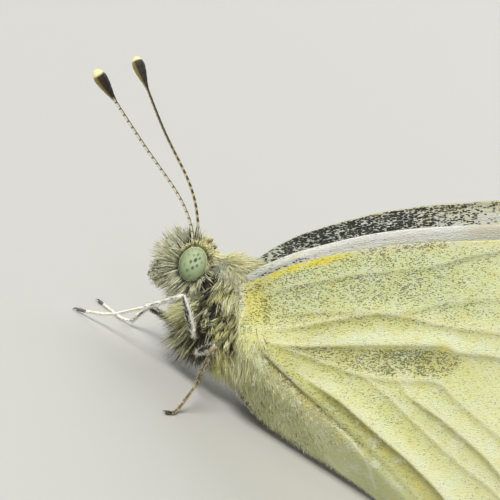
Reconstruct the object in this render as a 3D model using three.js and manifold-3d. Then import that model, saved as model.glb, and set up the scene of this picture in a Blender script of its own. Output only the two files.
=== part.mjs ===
// A small white butterfly at rest with its wings closed over its back, at life size.
// Millimetres, +Z up, floor at Z = 0. The head points to -X and the left side to -Y.
// While the body is built, X = 0 is at the middle of the eyes and Y = 0 is the middle of
// the body. At the end the group is moved, so that the middle of the floor under the whole
// animal is the origin.

import * as THREE from 'three';
import { mergeVertices } from 'three/addons/utils/BufferGeometryUtils.js';
import Module from 'manifold-3d';

const wasm = await Module();
wasm.setup();

// Driving dimensions. Coats of hair are counted in, out to their tips.
const EYE_HEIGHT = 5.12;
const EYE_LONG = 0.88;
const EYE_SHORT = 0.65;
const EYE_BULGE = 0.62;
const EYE_INNER = 0.66;
const EYE_TILT = THREE.MathUtils.degToRad(-7);
const CUT = 0.07;

const HEAD_CENTRE = new THREE.Vector3(-0.35, 0, 4.85);
const HEAD_SIZE = new THREE.Vector3(1.25, 1.15, 1.6);
const HEAD_BACK = 0.84;

const WING_THICK = 0.55;
const FORE_WING_Y = 1.75;
const HIND_WING_Y = 2.38;
const WING_LEAN = Math.tan(THREE.MathUtils.degToRad(1.2));
const LEAN_FROM = 6;
const GUTTER_IN = 1.2;
const WING_ROOT = { x: 3.3, z: 5.5 };
const ROOT_IN = 0.42;
const ROOT_REACH = 3.2;
const FOLD_START = { x: 5.5, z: 3.45 };
const FOLD_FALL = 0.17;

const LEG_RADIUS = 0.28;
const FOOT_RADIUS = 0.26;
const HORN_RADIUS = 0.26;
const CLUB_RADIUS = 0.36;

// Colours of the living animal, one for each kind of piece.
const COLOURS = {
  fur: 0xcfcaa6,
  eye: 0xaac39b,
  horn: 0x2b2622,
  tongue: 0x4a3524,
  leg: 0xd8d2c4,
  foreWing: 0xf1f0e4,
  hindWing: 0xdcdc96,
};

const butterfly = new THREE.Group();

// ---------------------------------------------------------------------------
// Helpers
// ---------------------------------------------------------------------------

// Makes a closed body from points and triangles, with its faces turned out.
function closedBody(points, triangles) {
  const [a, b, c] = [new THREE.Vector3(), new THREE.Vector3(), new THREE.Vector3()];
  let volume = 0;
  for (const [i, j, k] of triangles) {
    volume += a.copy(points[i]).dot(b.copy(points[j]).cross(c.copy(points[k])));
  }
  const order = volume > 0 ? triangles : triangles.map(([i, j, k]) => [i, k, j]);
  const geometry = new THREE.BufferGeometry().setFromPoints(points);
  geometry.setIndex(order.flat());
  return geometry;
}

// Joins rings of points into a tube and closes both its ends with a fan.
function loft(rings) {
  const count = rings[0].length;
  const points = rings.flat();
  const triangles = [];
  for (let ring = 0; ring < rings.length - 1; ring += 1) {
    for (let side = 0; side < count; side += 1) {
      const a = ring * count + side;
      const b = ring * count + (side + 1) % count;
      triangles.push([a, b, b + count], [a, b + count, a + count]);
    }
  }
  for (const [start, flip] of [[0, true], [(rings.length - 1) * count, false]]) {
    const middle = new THREE.Vector3();
    for (let side = 0; side < count; side += 1) middle.addScaledVector(points[start + side], 1 / count);
    points.push(middle);
    for (let side = 0; side < count; side += 1) {
      const a = start + side;
      const b = start + (side + 1) % count;
      triangles.push(flip ? [points.length - 1, b, a] : [points.length - 1, a, b]);
    }
  }
  return closedBody(points, triangles);
}

// A slab of even thickness across Y: place(u, v) gives its middle surface for u, v in 0..1.
function slab(place, steps, rows) {
  const points = [];
  for (const side of [-1, 1]) {
    for (let i = 0; i <= steps; i += 1) {
      for (let j = 0; j <= rows; j += 1) {
        points.push(place(i / steps, j / rows).add(new THREE.Vector3(0, side * WING_THICK / 2, 0)));
      }
    }
  }
  const far = (steps + 1) * (rows + 1);
  const at = (i, j) => i * (rows + 1) + j;
  const triangles = [];
  const quad = (a, b, c, d) => triangles.push([a, b, c], [a, c, d]);
  for (let i = 0; i < steps; i += 1) {
    for (let j = 0; j < rows; j += 1) {
      quad(at(i, j), at(i + 1, j), at(i + 1, j + 1), at(i, j + 1));
      quad(far + at(i, j), far + at(i, j + 1), far + at(i + 1, j + 1), far + at(i + 1, j));
    }
    quad(at(i, 0), far + at(i, 0), far + at(i + 1, 0), at(i + 1, 0));
    quad(at(i, rows), at(i + 1, rows), far + at(i + 1, rows), far + at(i, rows));
  }
  for (let j = 0; j < rows; j += 1) {
    quad(at(0, j), at(0, j + 1), far + at(0, j + 1), far + at(0, j));
    quad(at(steps, j), far + at(steps, j), far + at(steps, j + 1), at(steps, j + 1));
  }
  return closedBody(points, triangles);
}

// A jointed limb: a tube of 8 sides along a curve through its joints. Where it meets the
// floor its underside is pressed flat.
function limb(joints, radiusAt, steps) {
  const curve = new THREE.CatmullRomCurve3(joints, false, 'centripetal');
  const rings = [];
  for (let step = 0; step <= steps; step += 1) {
    const along = step / steps;
    const centre = curve.getPointAt(along);
    const forward = curve.getTangentAt(along);
    const across = new THREE.Vector3(0, 1, 0).cross(forward).normalize();
    const over = forward.clone().cross(across);
    const ring = [];
    for (let side = 0; side < 8; side += 1) {
      const angle = (side + 0.5) / 8 * 2 * Math.PI;
      const point = centre.clone();
      point.addScaledVector(across, Math.cos(angle) * radiusAt(along));
      point.addScaledVector(over, Math.sin(angle) * radiusAt(along));
      point.z = Math.max(point.z, 0);
      ring.push(point);
    }
    rings.push(ring);
  }
  return loft(rings);
}

// A solid that can be cut and joined, from any closed geometry.
function toSolid(geometry) {
  const bare = new THREE.BufferGeometry();
  bare.setAttribute('position', geometry.getAttribute('position'));
  bare.setIndex(geometry.index);
  const merged = mergeVertices(bare, 1e-4);
  return new wasm.Manifold(new wasm.Mesh({
    numProp: 3,
    vertProperties: new Float32Array(merged.getAttribute('position').array),
    triVerts: new Uint32Array(merged.index.array),
  }));
}

function toGeometry(solid) {
  const mesh = solid.getMesh();
  const geometry = new THREE.BufferGeometry();
  geometry.setAttribute('position', new THREE.BufferAttribute(mesh.vertProperties, 3));
  geometry.setIndex(new THREE.BufferAttribute(mesh.triVerts, 1));
  return geometry;
}

function addPiece(name, geometry, colour, roughness) {
  const material = new THREE.MeshStandardMaterial({ color: colour, roughness, metalness: 0 });
  const mesh = new THREE.Mesh(geometry, material);
  mesh.name = name;
  butterfly.add(mesh);
}

const SIDES = [['left', -1], ['right', 1]];

// A point on one side of the body: side is -1 for left and 1 for right.
function onSide(side, x, y, z) {
  return new THREE.Vector3(x, side * y, z);
}

// ---------------------------------------------------------------------------
// Head: a furry ball, flat at the neck, with an oval pocket on each side for the eye
// ---------------------------------------------------------------------------

function headBall(extra) {
  const ball = new THREE.SphereGeometry(1, 28, 18);
  ball.scale(HEAD_SIZE.x + extra, HEAD_SIZE.y + extra, HEAD_SIZE.z + extra);
  ball.translate(HEAD_CENTRE.x, HEAD_CENTRE.y, HEAD_CENTRE.z);
  return toSolid(ball);
}

function eyePocket(side) {
  const depth = 2;
  const pocket = new THREE.CylinderGeometry(1, 1, depth, 28);
  pocket.scale(EYE_SHORT + CUT, 1, EYE_LONG + CUT);
  pocket.rotateY(EYE_TILT);
  pocket.translate(0, side * (EYE_INNER - CUT + depth / 2), EYE_HEIGHT);
  return toSolid(pocket);
}

function behindNeck() {
  const block = new THREE.BoxGeometry(4, 6, 8);
  block.translate(HEAD_BACK + 2, 0, HEAD_CENTRE.z);
  return toSolid(block);
}

let head = headBall(0).subtract(behindNeck());
for (const [, side] of SIDES) head = head.subtract(eyePocket(side));
addPiece('head', toGeometry(head), COLOURS.fur, 0.95);

// Eye: half an egg, its flat side in the pocket, its long axis leaning forward at the top.
function eye(side) {
  const rings = [];
  for (let step = 0; step < 7; step += 1) {
    const lift = step / 7 * Math.PI / 2;
    const ring = [];
    for (let corner = 0; corner < 24; corner += 1) {
      const angle = corner / 24 * 2 * Math.PI;
      const flat = new THREE.Vector3(
        EYE_SHORT * Math.cos(angle) * Math.cos(lift),
        side * EYE_BULGE * Math.sin(lift),
        EYE_LONG * Math.sin(angle) * Math.cos(lift),
      );
      flat.applyAxisAngle(new THREE.Vector3(0, 1, 0), EYE_TILT);
      ring.push(flat.add(onSide(side, 0, EYE_INNER, EYE_HEIGHT)));
    }
    rings.push(ring);
  }
  const dome = loft(rings);
  dome.getAttribute('position').setY(rings.length * 24 + 1, side * (EYE_INNER + EYE_BULGE));
  return dome;
}

// Palp: a short furry feeler that points forward and up from under the face.
function palp(side) {
  const joints = [
    onSide(side, -0.9, 0.56, 3.55),
    onSide(side, -1.45, 0.57, 3.75),
    onSide(side, -1.85, 0.48, 4.35),
  ];
  const feeler = limb(joints, (along) => 0.34 - 0.08 * along * along, 8);
  return toGeometry(toSolid(feeler).subtract(headBall(CUT)));
}

// Antennae from the head to the tip. The right one is held a little higher.
const ANTENNAE = {
  left: [[-0.4, 0.36, 5.6], [-0.98, 0.55, 6.6], [-2.3, 0.95, 7.75], [-5.0, 1.8, 9.25], [-8.3, 2.8, 11.2]],
  right: [[-0.4, 0.36, 5.6], [-0.98, 0.55, 6.72], [-2.3, 0.95, 7.99], [-5.0, 1.8, 9.49], [-8.1, 2.85, 11.54]],
};

// Antenna: a thin shaft from the top of the head with a club at its end.
function antenna(side, places) {
  const joints = places.map(([x, y, z]) => onSide(side, x, y, z));
  const clubStart = 0.8;
  const radiusAt = (along) => {
    const inClub = THREE.MathUtils.smoothstep(along, clubStart, clubStart + 0.1);
    const tip = THREE.MathUtils.smoothstep(along, 0.95, 1.02);
    return HORN_RADIUS + (CLUB_RADIUS - HORN_RADIUS) * (inClub - tip);
  };
  return toGeometry(toSolid(limb(joints, radiusAt, 24)).subtract(headBall(CUT)));
}

// Tongue: a flat coil held edge up between the palps.
function tongue() {
  const coil = new THREE.CylinderGeometry(0.42, 0.42, 0.5, 16);
  coil.translate(-1.35, 0, 3.42);
  return toGeometry(toSolid(coil).subtract(headBall(CUT)));
}

for (const [label, side] of SIDES) {
  addPiece(`eye_${label}`, eye(side), COLOURS.eye, 0.3);
  addPiece(`palp_${label}`, palp(side), COLOURS.fur, 0.95);
  addPiece(`antenna_${label}`, antenna(side, ANTENNAE[label]), COLOURS.horn, 0.6);
}
addPiece('proboscis', tongue(), COLOURS.tongue, 0.5);

// ---------------------------------------------------------------------------
// Thorax and abdomen: upright oval sections along X, narrower towards the back
// ---------------------------------------------------------------------------

// A body length from its back line, its belly line and its half width along X.
function trunk(back, belly, width, steps, sides) {
  const backLine = new THREE.SplineCurve(back.map(([x, z]) => new THREE.Vector2(x, z)));
  const bellyLine = new THREE.SplineCurve(belly.map(([x, z]) => new THREE.Vector2(x, z)));
  const widthLine = new THREE.SplineCurve(width.map(([x, y]) => new THREE.Vector2(x, y)));
  const narrowing = 0.16;
  const rings = [];
  for (let step = 0; step <= steps; step += 1) {
    const top = backLine.getPoint(step / steps);
    const bottom = bellyLine.getPoint(step / steps);
    const half = widthLine.getPoint(step / steps).y;
    const ring = [];
    for (let side = 0; side < sides; side += 1) {
      const angle = side / sides * 2 * Math.PI;
      const lift = Math.sin(angle);
      ring.push(new THREE.Vector3(
        top.x,
        half * Math.cos(angle) * (1 - narrowing * lift),
        (top.y + bottom.y) / 2 + lift * (top.y - bottom.y) / 2,
      ));
    }
    rings.push(ring);
  }
  return loft(rings);
}

const thorax = trunk(
  [[0.92, 6.1], [1.7, 6.65], [2.7, 6.95], [3.8, 6.85], [4.9, 6.1], [5.9, 4.9]],
  [[0.92, 2.3], [1.7, 1.4], [2.7, 1.05], [3.8, 0.95], [4.9, 1.1], [5.9, 1.5]],
  [[0.92, 1.05], [1.7, 1.45], [2.7, 1.58], [3.8, 1.6], [4.9, 1.5], [5.9, 1.2]],
  14,
  24,
);
addPiece('thorax', thorax, COLOURS.fur, 0.95);

const abdomen = trunk(
  [[5.97, 4.8], [8, 4.3], [10.3, 3.75], [12.8, 3.0], [14.7, 2.25]],
  [[5.97, 1.55], [8, 1.4], [10.3, 1.25], [12.8, 1.1], [14.7, 1.35]],
  [[5.97, 1.16], [8, 1.14], [10.3, 1.08], [12.8, 0.84], [14.7, 0.32]],
  14,
  18,
);
addPiece('abdomen', abdomen, COLOURS.fur, 0.9);

// ---------------------------------------------------------------------------
// Wings: each is a slab between its front edge and its rear edge. They stand upright on
// both sides of the body, the hind wings outside the fore wings.
// ---------------------------------------------------------------------------

function edge(corners) {
  return new THREE.SplineCurve(corners.map(([x, z]) => new THREE.Vector2(x, z)));
}

// The front edge runs from the shoulder to the tip, and the rear edge back round to it.
const foreFront = edge([
  [2.5, 6.25], [3.2, 7.6], [4.4, 9.2], [7.1, 11.95], [11.1, 14.95], [16.2, 18.35], [20.0, 20.75], [21.6, 21.35],
  [22.25, 21.05],
]);
const foreRear = edge([
  [3.3, 5.75], [6.2, 5.65], [10.8, 6.0], [16.2, 6.3], [19.6, 6.75], [21.1, 10.2], [22.1, 15.6], [22.5, 19.2],
  [22.45, 20.5],
]);
const hindFront = edge([
  [2.5, 5.95], [3.15, 6.75], [4.33, 8.45], [7.0, 11.15], [10.3, 13.65], [13.6, 15.75], [17.0, 16.75], [19.9, 15.9],
  [21.7, 13.4], [22.5, 11.0],
]);
const hindRear = edge([
  [4.0, 3.4], [4.7, 2.05], [5.8, 0.85], [7.2, 0.35], [9.0, 0.22], [12.5, 0.18], [14.2, 0], [16.6, 0], [18.6, 0.8],
  [20.6, 2.8], [22.0, 5.8], [22.6, 8.8], [22.65, 10.3],
]);

// Leaning out a little above the back.
function leanOut(z) {
  return WING_LEAN * Math.max(z - LEAN_FROM, 0);
}

// Under the long fold the hind wing turns in below the abdomen.
function turnIn(x, z) {
  const foldHeight = FOLD_START.z - FOLD_FALL * (x - FOLD_START.x);
  return GUTTER_IN * THREE.MathUtils.smoothstep(foldHeight - z, 0, foldHeight);
}

// Round its root each wing turns in to meet the side of the thorax.
function rootIn(x, z) {
  const reach = Math.hypot(x - WING_ROOT.x, z - WING_ROOT.z);
  return ROOT_IN * (1 - THREE.MathUtils.smoothstep(reach, 0, ROOT_REACH));
}

// The right fore wing is turned up about its root and drawn forward a little.
const FORE_RAISE = { left: 0, right: THREE.MathUtils.degToRad(1) };
const FORE_SHIFT = { left: 0, right: 0.13 };

function foreWing(side, raise, shift) {
  const hinge = new THREE.Vector2(WING_ROOT.x, WING_ROOT.z);
  const forward = new THREE.Vector2(-shift, shift);
  return slab((u, v) => {
    const place = foreFront.getPointAt(u).lerp(foreRear.getPointAt(u), v);
    const { x, y: z } = place.rotateAround(hinge, raise).add(forward);
    return onSide(side, x, FORE_WING_Y + leanOut(z) - rootIn(x, z), z);
  }, 22, 6);
}

function hindWing(side) {
  return slab((u, v) => {
    const { x, y } = hindFront.getPointAt(u).lerp(hindRear.getPointAt(u), v);
    const z = Math.max(y, 0);
    return onSide(side, x, HIND_WING_Y + leanOut(z) - turnIn(x, z) - rootIn(x, z), z);
  }, 24, 10);
}

for (const [label, side] of SIDES) {
  addPiece(`forewing_${label}`, foreWing(side, FORE_RAISE[label], FORE_SHIFT[label]), COLOURS.foreWing, 0.85);
  addPiece(`hindwing_${label}`, hindWing(side), COLOURS.hindWing, 0.85);
}

// ---------------------------------------------------------------------------
// Legs: from the underside of the thorax over the knee to a small flat foot
// ---------------------------------------------------------------------------

// Joints from hip to claws, on the left side; the right ones are mirrored unless given.
const LEGS = {
  foreleg_left: [[1.75, 0.9, 1.9], [1.95, 1.75, 2.5], [0.5, 1.85, 3.9], [-0.85, 1.5, 2.2],
    [-2.1, 1.15, 0.85], [-3.1, 1.12, 0.32], [-3.85, 1.13, 0.24]],
  foreleg_right: [[1.75, 0.9, 1.9], [0.6, 1.0, 1.5], [-0.95, 1.25, 1.35], [-1.4, 1.0, 0.45],
    [-2.2, 1.15, 0.26], [-3.4, 1.5, 0.24]],
  midleg: [[2.5, 0.8, 1.9], [2.6, 1.75, 2.2], [3.03, 2.65, 2.85], [3.3, 4.0, 1.25],
    [3.24, 4.9, 0.32], [3.02, 5.9, 0.24]],
  hindleg: [[4.2, 0.5, 1.8], [5.0, 0.62, 0.8], [6.1, 0.56, 0.5], [7.0, 0.5, 0.26], [7.9, 0.46, 0.24]],
};

function leg(side, joints) {
  const path = joints.map(([x, y, z]) => onSide(side, x, y, z));
  const radiusAt = (along) => LEG_RADIUS + (FOOT_RADIUS - LEG_RADIUS) * along;
  const steps = 4 * (joints.length - 1);
  return toGeometry(toSolid(limb(path, radiusAt, steps)).subtract(toSolid(thoraxRoom)));
}

// The room that the thorax takes, a little larger than the thorax itself.
const thoraxRoom = thorax.clone();
thoraxRoom.computeBoundingBox();
const thoraxMiddle = thoraxRoom.boundingBox.getCenter(new THREE.Vector3());
const thoraxSpan = thoraxRoom.boundingBox.getSize(new THREE.Vector3());
thoraxRoom.translate(-thoraxMiddle.x, -thoraxMiddle.y, -thoraxMiddle.z);
thoraxRoom.scale(1 + 2 * CUT / thoraxSpan.x, 1 + 2 * CUT / thoraxSpan.y, 1 + 2 * CUT / thoraxSpan.z);
thoraxRoom.translate(thoraxMiddle.x, thoraxMiddle.y, thoraxMiddle.z);

for (const [label, side] of SIDES) {
  for (const kind of ['foreleg', 'midleg', 'hindleg']) {
    const joints = LEGS[`${kind}_${label}`] ?? LEGS[kind];
    addPiece(`${kind}_${label}`, leg(side, joints), COLOURS.leg, 0.7);
  }
}

// Bring the middle of the floor under the animal to the origin.
const box = new THREE.Box3().setFromObject(butterfly);
const middle = box.getCenter(new THREE.Vector3());
butterfly.position.set(-middle.x, -middle.y, -box.min.z);
butterfly.updateMatrixWorld(true);

export default butterfly;
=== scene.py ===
import bpy
import numpy as np
from mathutils import Matrix, Vector


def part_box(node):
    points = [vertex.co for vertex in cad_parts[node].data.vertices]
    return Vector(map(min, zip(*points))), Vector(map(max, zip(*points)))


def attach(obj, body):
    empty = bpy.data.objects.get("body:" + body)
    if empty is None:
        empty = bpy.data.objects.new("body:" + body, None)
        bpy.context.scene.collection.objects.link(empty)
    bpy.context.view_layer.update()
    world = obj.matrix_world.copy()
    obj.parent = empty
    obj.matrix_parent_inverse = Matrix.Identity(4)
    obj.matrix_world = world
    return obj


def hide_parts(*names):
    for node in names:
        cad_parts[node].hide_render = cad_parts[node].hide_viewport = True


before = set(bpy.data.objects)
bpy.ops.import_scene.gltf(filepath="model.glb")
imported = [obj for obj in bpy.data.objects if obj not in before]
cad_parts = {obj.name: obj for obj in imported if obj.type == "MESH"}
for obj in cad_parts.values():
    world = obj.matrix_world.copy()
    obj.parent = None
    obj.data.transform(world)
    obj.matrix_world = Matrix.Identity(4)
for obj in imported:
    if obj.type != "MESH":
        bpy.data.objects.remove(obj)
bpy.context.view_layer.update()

# ---------------------------------------------------------------------------------------
# Skin of the head, thorax and abdomen
# One closed hide of dark chitin carries the whole coat. It is a tube of upright ovals
# along the body, drawn in at the neck and the waist, with shallow rings on the abdomen.
# ---------------------------------------------------------------------------------------

MM = 0.001
SIDES = (("left", -1), ("right", 1))
eye_boxes = [np.array(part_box(f"eye_{label}")) for label, _ in SIDES]
eye_middle = np.mean(eye_boxes, axis=(0, 1))


def in_metres(points):
    """Shapes are worked out in millimetres: x back from the middle of the eyes, y to the
    right of the body's middle and z up from the floor. This puts them in the row's frame."""
    return np.asarray(points) * MM + np.array([eye_middle[0], 0, 0])


def smooth_path(corners, count):
    """A Catmull-Rom curve through the corners, in any number of dimensions, read at count
    places evenly spaced along its length."""
    corners = np.asarray(corners, float)
    padded = np.vstack([corners[:1], corners, corners[-1:]])
    spans = len(corners) - 1
    t = np.linspace(0, spans, spans * 40 + 1)
    at = np.minimum(t.astype(int), spans - 1)
    f = (t - at)[:, None]
    p0, p1, p2, p3 = (padded[at + k] for k in range(4))
    fine = p1 + 0.5 * f * (p2 - p0 + f * (2 * p0 - 5 * p1 + 4 * p2 - p3 + f * (3 * (p1 - p2) + p3 - p0)))
    run = np.concatenate([[0], np.cumsum(np.linalg.norm(np.diff(fine, axis=0), axis=1))])
    even = np.linspace(0, run[-1], count)
    return np.stack([np.interp(even, run, fine[:, k]) for k in range(fine.shape[1])], axis=1)


def ease(low, high, value):
    """0 below low, 1 above high, and a smooth S between them."""
    t = np.clip((value - low) / (high - low), 0, 1)
    return t * t * (3 - 2 * t)


def grid_faces(rows, columns, around=False):
    """Four-cornered faces of a grid of points, row by row; around joins the last column to
    the first."""
    i, j = np.meshgrid(np.arange(rows - 1), np.arange(columns if around else columns - 1), indexing="ij")
    a, b = i * columns + j, i * columns + (j + 1) % columns
    return np.stack([a, b, b + columns, a + columns], axis=-1).reshape(-1, 4)


def tube_faces(rows, sides, first=0):
    """The faces of a tube: its wall, and one flat cap at each end."""
    end = first + (rows - 1) * sides
    return [
        first + grid_faces(rows, sides, around=True),
        first + np.arange(sides)[None, ::-1], end + np.arange(sides)[None],
    ]


def add_piece(name, points, faces, finish, slot, replaces=(), **values):
    """Makes a mesh piece from points in millimetres and lists of faces, turned so that its
    volume is positive. values become attributes: one number or four for each point."""
    turn = 0
    for group in faces:
        a, b, c = (points[group[:, k]] for k in range(3))
        turn += np.einsum("ij,ij->i", a, np.cross(b, c)).sum()
        if group.shape[1] == 4:
            turn += np.einsum("ij,ij->i", a, np.cross(c, points[group[:, 3]])).sum()
    groups = faces if turn > 0 else [group[:, ::-1] for group in faces]
    loops = np.concatenate([group.ravel() for group in groups])
    sizes = np.concatenate([np.full(len(group), group.shape[1]) for group in groups])
    mesh = bpy.data.meshes.new(name)
    mesh.vertices.add(len(points))
    mesh.vertices.foreach_set("co", in_metres(points).astype(np.float32).ravel())
    mesh.loops.add(len(loops))
    mesh.polygons.add(len(sizes))
    mesh.polygons.foreach_set("loop_start", (np.cumsum(sizes) - sizes).astype(np.int32))
    mesh.polygons.foreach_set("vertices", loops.astype(np.int32))
    mesh.polygons.foreach_set("use_smooth", np.full(len(sizes), True))
    mesh.update(calc_edges=True)
    for key, value in values.items():
        value = np.asarray(value, np.float32)
        if key == "OFBake":
            layer = mesh.uv_layers.new(name=key)
            layer.data.foreach_set("uv", value[loops].ravel())
        elif value.ndim == 1:
            mesh.attributes.new(key, "FLOAT", "POINT").data.foreach_set("value", value)
        else:
            rgba = np.concatenate([value, np.ones((len(value), 1), np.float32)], axis=1)
            mesh.attributes.new(key, "FLOAT_COLOR", "POINT").data.foreach_set("color", rgba.ravel())
    mesh.materials.append(finish)
    piece = bpy.data.objects.new(name, mesh)
    bpy.context.scene.collection.objects.link(piece)
    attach(piece, "root")
    if replaces:
        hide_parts(*replaces)
    return piece


class Signal:
    """One output in a material. Sums and products of signals add their Math nodes, and node
    adds any other kind."""

    def __init__(self, tree, socket=None):
        self.tree, self.socket = tree, socket

    def node(self, kind, settings, inputs, output=0):
        """Adds a node: its settings are set first, then its sockets get values or links."""
        made = self.tree.nodes.new(kind)
        for key, value in settings.items():
            setattr(made, key, value)
        for key, value in inputs.items():
            if isinstance(value, Signal):
                self.tree.links.new(value.socket, made.inputs[key])
            else:
                made.inputs[key].default_value = value
        return Signal(self.tree, made.outputs[output] if made.outputs else None)

    def maths(self, operation, *values):
        return self.node("ShaderNodeMath", {"operation": operation}, dict(enumerate(values)))

    def __add__(self, other):
        return self.maths("ADD", self, other)

    def __sub__(self, other):
        return self.maths("SUBTRACT", self, other)

    def __mul__(self, other):
        return self.maths("MULTIPLY", self, other)

    def step(self, low, high):
        """0 below low, 1 above high and smooth between, by a Map Range node."""
        return self.node("ShaderNodeMapRange", {"interpolation_type": "SMOOTHSTEP"},
                         {"Value": self, "From Min": low, "From Max": high})

    def mix(self, start, end):
        """The colour start where this signal is 0 and end where it is 1."""
        return self.node("ShaderNodeMix", {"data_type": "RGBA"}, {0: self, 6: start, 7: end}, 2)


def start_finish(name):
    """A new material with an empty node tree, and a signal to build it from."""
    material = bpy.data.materials.new(name)
    material.use_nodes = True
    material.node_tree.nodes.clear()
    return material, Signal(material.node_tree)


def end_finish(graph, bump=None, depth=0.1, **sockets):
    """Closes a material with one Principled shader; bump is a height and depth its strength."""
    inputs = {key.replace("_", " "): value for key, value in sockets.items()}
    if bump is not None:
        relief = {"Height": bump, "Strength": 1.0, "Distance": depth * MM}
        inputs["Normal"] = graph.node("ShaderNodeBump", {}, relief)
    shader = graph.node("ShaderNodeBsdfPrincipled", {}, inputs)
    graph.node("ShaderNodeOutputMaterial", {"target": "ALL"}, {"Surface": shader})


def object_mm(graph):
    """Object coordinates in millimetres."""
    place = graph.node("ShaderNodeTexCoord", {}, {}, "Object")
    return graph.node("ShaderNodeMapping", {}, {"Vector": place, "Scale": [1 / MM] * 3})


def noise(graph, scale, detail=2.0):
    """A soft noise pattern with about scale waves to the millimetre."""
    sockets = {"Vector": object_mm(graph), "Scale": scale, "Detail": detail}
    return graph.node("ShaderNodeTexNoise", {}, sockets)


# Each station is x, back height, belly height and half width.
SKIN_STATIONS = np.array([
    [-1.14, 5.05, 4.85, 0.08], [-1.02, 5.45, 4.45, 0.42], [-0.6, 5.88, 4.0, 0.66], [0.0, 5.98, 3.82, 0.74],
    [0.55, 5.85, 3.95, 0.68], [0.92, 5.7, 4.1, 0.58], [1.2, 5.95, 3.1, 0.82], [1.75, 6.22, 2.2, 1.12],
    [2.7, 6.4, 1.8, 1.3], [3.8, 6.3, 1.65, 1.32], [4.9, 5.6, 1.75, 1.15], [5.6, 4.85, 2.05, 0.92],
    [5.95, 4.45, 2.2, 0.82], [6.6, 4.4, 1.95, 0.95], [8.0, 4.1, 1.7, 1.0], [10.3, 3.58, 1.5, 0.94],
    [12.6, 2.92, 1.35, 0.74], [13.9, 2.45, 1.45, 0.42], [14.4, 2.2, 1.65, 0.22], [14.5, 1.98, 1.82, 0.06],
])
SKIN_NARROWING = 0.16
SKIN_ROWS, SKIN_SIDES = 300, 72
TAIL_RING_LENGTH = 1.15
skin_line = smooth_path(SKIN_STATIONS, 900)
skin_run = np.linspace(0, 1, len(skin_line))


def skin_point(u, v):
    """A point of the hide: u runs from face to tail and v once round. Each section is an
    oval whose width falls towards the back, with a faint furrow between the tail's rings."""
    x, back, belly, half = (np.interp(u, skin_run, skin_line[:, k]) for k in range(4))
    furrow = 1 - 0.035 * ease(6.3, 7, x) * np.cos((x - 6.0) / TAIL_RING_LENGTH * 2 * np.pi) ** 8
    turn = 2 * np.pi * v
    lift = np.sin(turn)
    y = half * np.cos(turn) * (1 - SKIN_NARROWING * lift) * furrow
    z = (back + belly) / 2 + lift * (back - belly) / 2 * furrow
    return np.stack([x, y, z], axis=-1)


def skin_normal(u, v):
    """The outward direction, from the cross product of two short steps over the hide."""
    step = 1e-4
    along = skin_point(np.clip(u + step, 0, 1), v) - skin_point(np.clip(u - step, 0, 1), v)
    round_it = skin_point(u, v + step) - skin_point(u, v - step)
    normal = np.cross(round_it, along)
    return normal / np.maximum(np.linalg.norm(normal, axis=-1, keepdims=True), 1e-12)


hide, graph = start_finish("hide")
mottle = noise(graph, 3.0, 6.0)
height = graph.node("ShaderNodeSeparateXYZ", {}, {"Vector": object_mm(graph)}, "Z")
flesh = mottle.step(0.35, 0.65).mix((0.02, 0.018, 0.012, 1), (0.1, 0.09, 0.055, 1))
# Painted light: under the mat the hide is painted pale cream, so that the gaps between its hairs show light
# instead of shade.
under_the_mat = height.step(5.7, 6.2).mix(flesh, (0.9, 0.86, 0.58, 1))
end_finish(graph, Base_Color=under_the_mat, Roughness=0.7, bump=mottle, depth=0.05)

skin_u, skin_v = np.meshgrid(np.linspace(0, 1, SKIN_ROWS), np.arange(SKIN_SIDES) / SKIN_SIDES, indexing="ij")
add_piece(
    "skin", skin_point(skin_u, skin_v).reshape(-1, 3), tube_faces(SKIN_ROWS, SKIN_SIDES), hide, "fur",
    replaces=("head", "thorax", "abdomen"),
)

# ---------------------------------------------------------------------------------------
# Eyes
# Each is a glassy half egg of thousands of tiny lenses, pale green, with a pale rim. Dark
# false pupils show on it where the lenses look straight out.
# ---------------------------------------------------------------------------------------

eye_size = eye_boxes[0][1] - eye_boxes[0][0]
EYE_TILT = np.radians(-7)
EYE_SHORT, EYE_LONG = 0.65, 0.85
EYE_FLAT = 0.64
EYE_ROWS, EYE_SIDES = 56, 144
RIM_SIDES, RIM_STEPS = 10, 96
EYE_BULGE = eye_size[1] / MM
EYE_Z = eye_middle[2] / MM
# False pupils: place across and up the eye, radius, darkness.
EYE_SPOTS = [
    (0.1, 0.4, 0.085, 1.0), (-0.07, 0.24, 0.07, 0.85), (0.24, 0.53, 0.055, 0.75),
    (-0.07, 0.57, 0.055, 0.6), (0.09, 0.65, 0.055, 0.65), (0.13, 0.0, 0.075, 0.85),
    (0.27, 0.18, 0.065, 0.8), (-0.06, -0.23, 0.075, 0.65), (0.41, 0.37, 0.05, 0.45),
    (-0.31, -0.03, 0.065, 0.4), (-0.32, 0.47, 0.05, 0.35), (0.13, -0.46, 0.065, 0.35),
]


def turned(across, up):
    """Turns places across and up the eye by the eye's lean, into x and z."""
    cos, sin = np.cos(EYE_TILT), np.sin(EYE_TILT)
    return across * cos + up * sin, up * cos - across * sin


def once_round(count):
    """Angles evenly spaced once round."""
    return np.arange(count) / count * 2 * np.pi


def own_value(graph, name, output="Fac"):
    """Reads a value that the piece's mesh carries; output is Fac, Color or Vector."""
    return graph.node("ShaderNodeAttribute", {"attribute_name": name}, {}, output)


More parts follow.
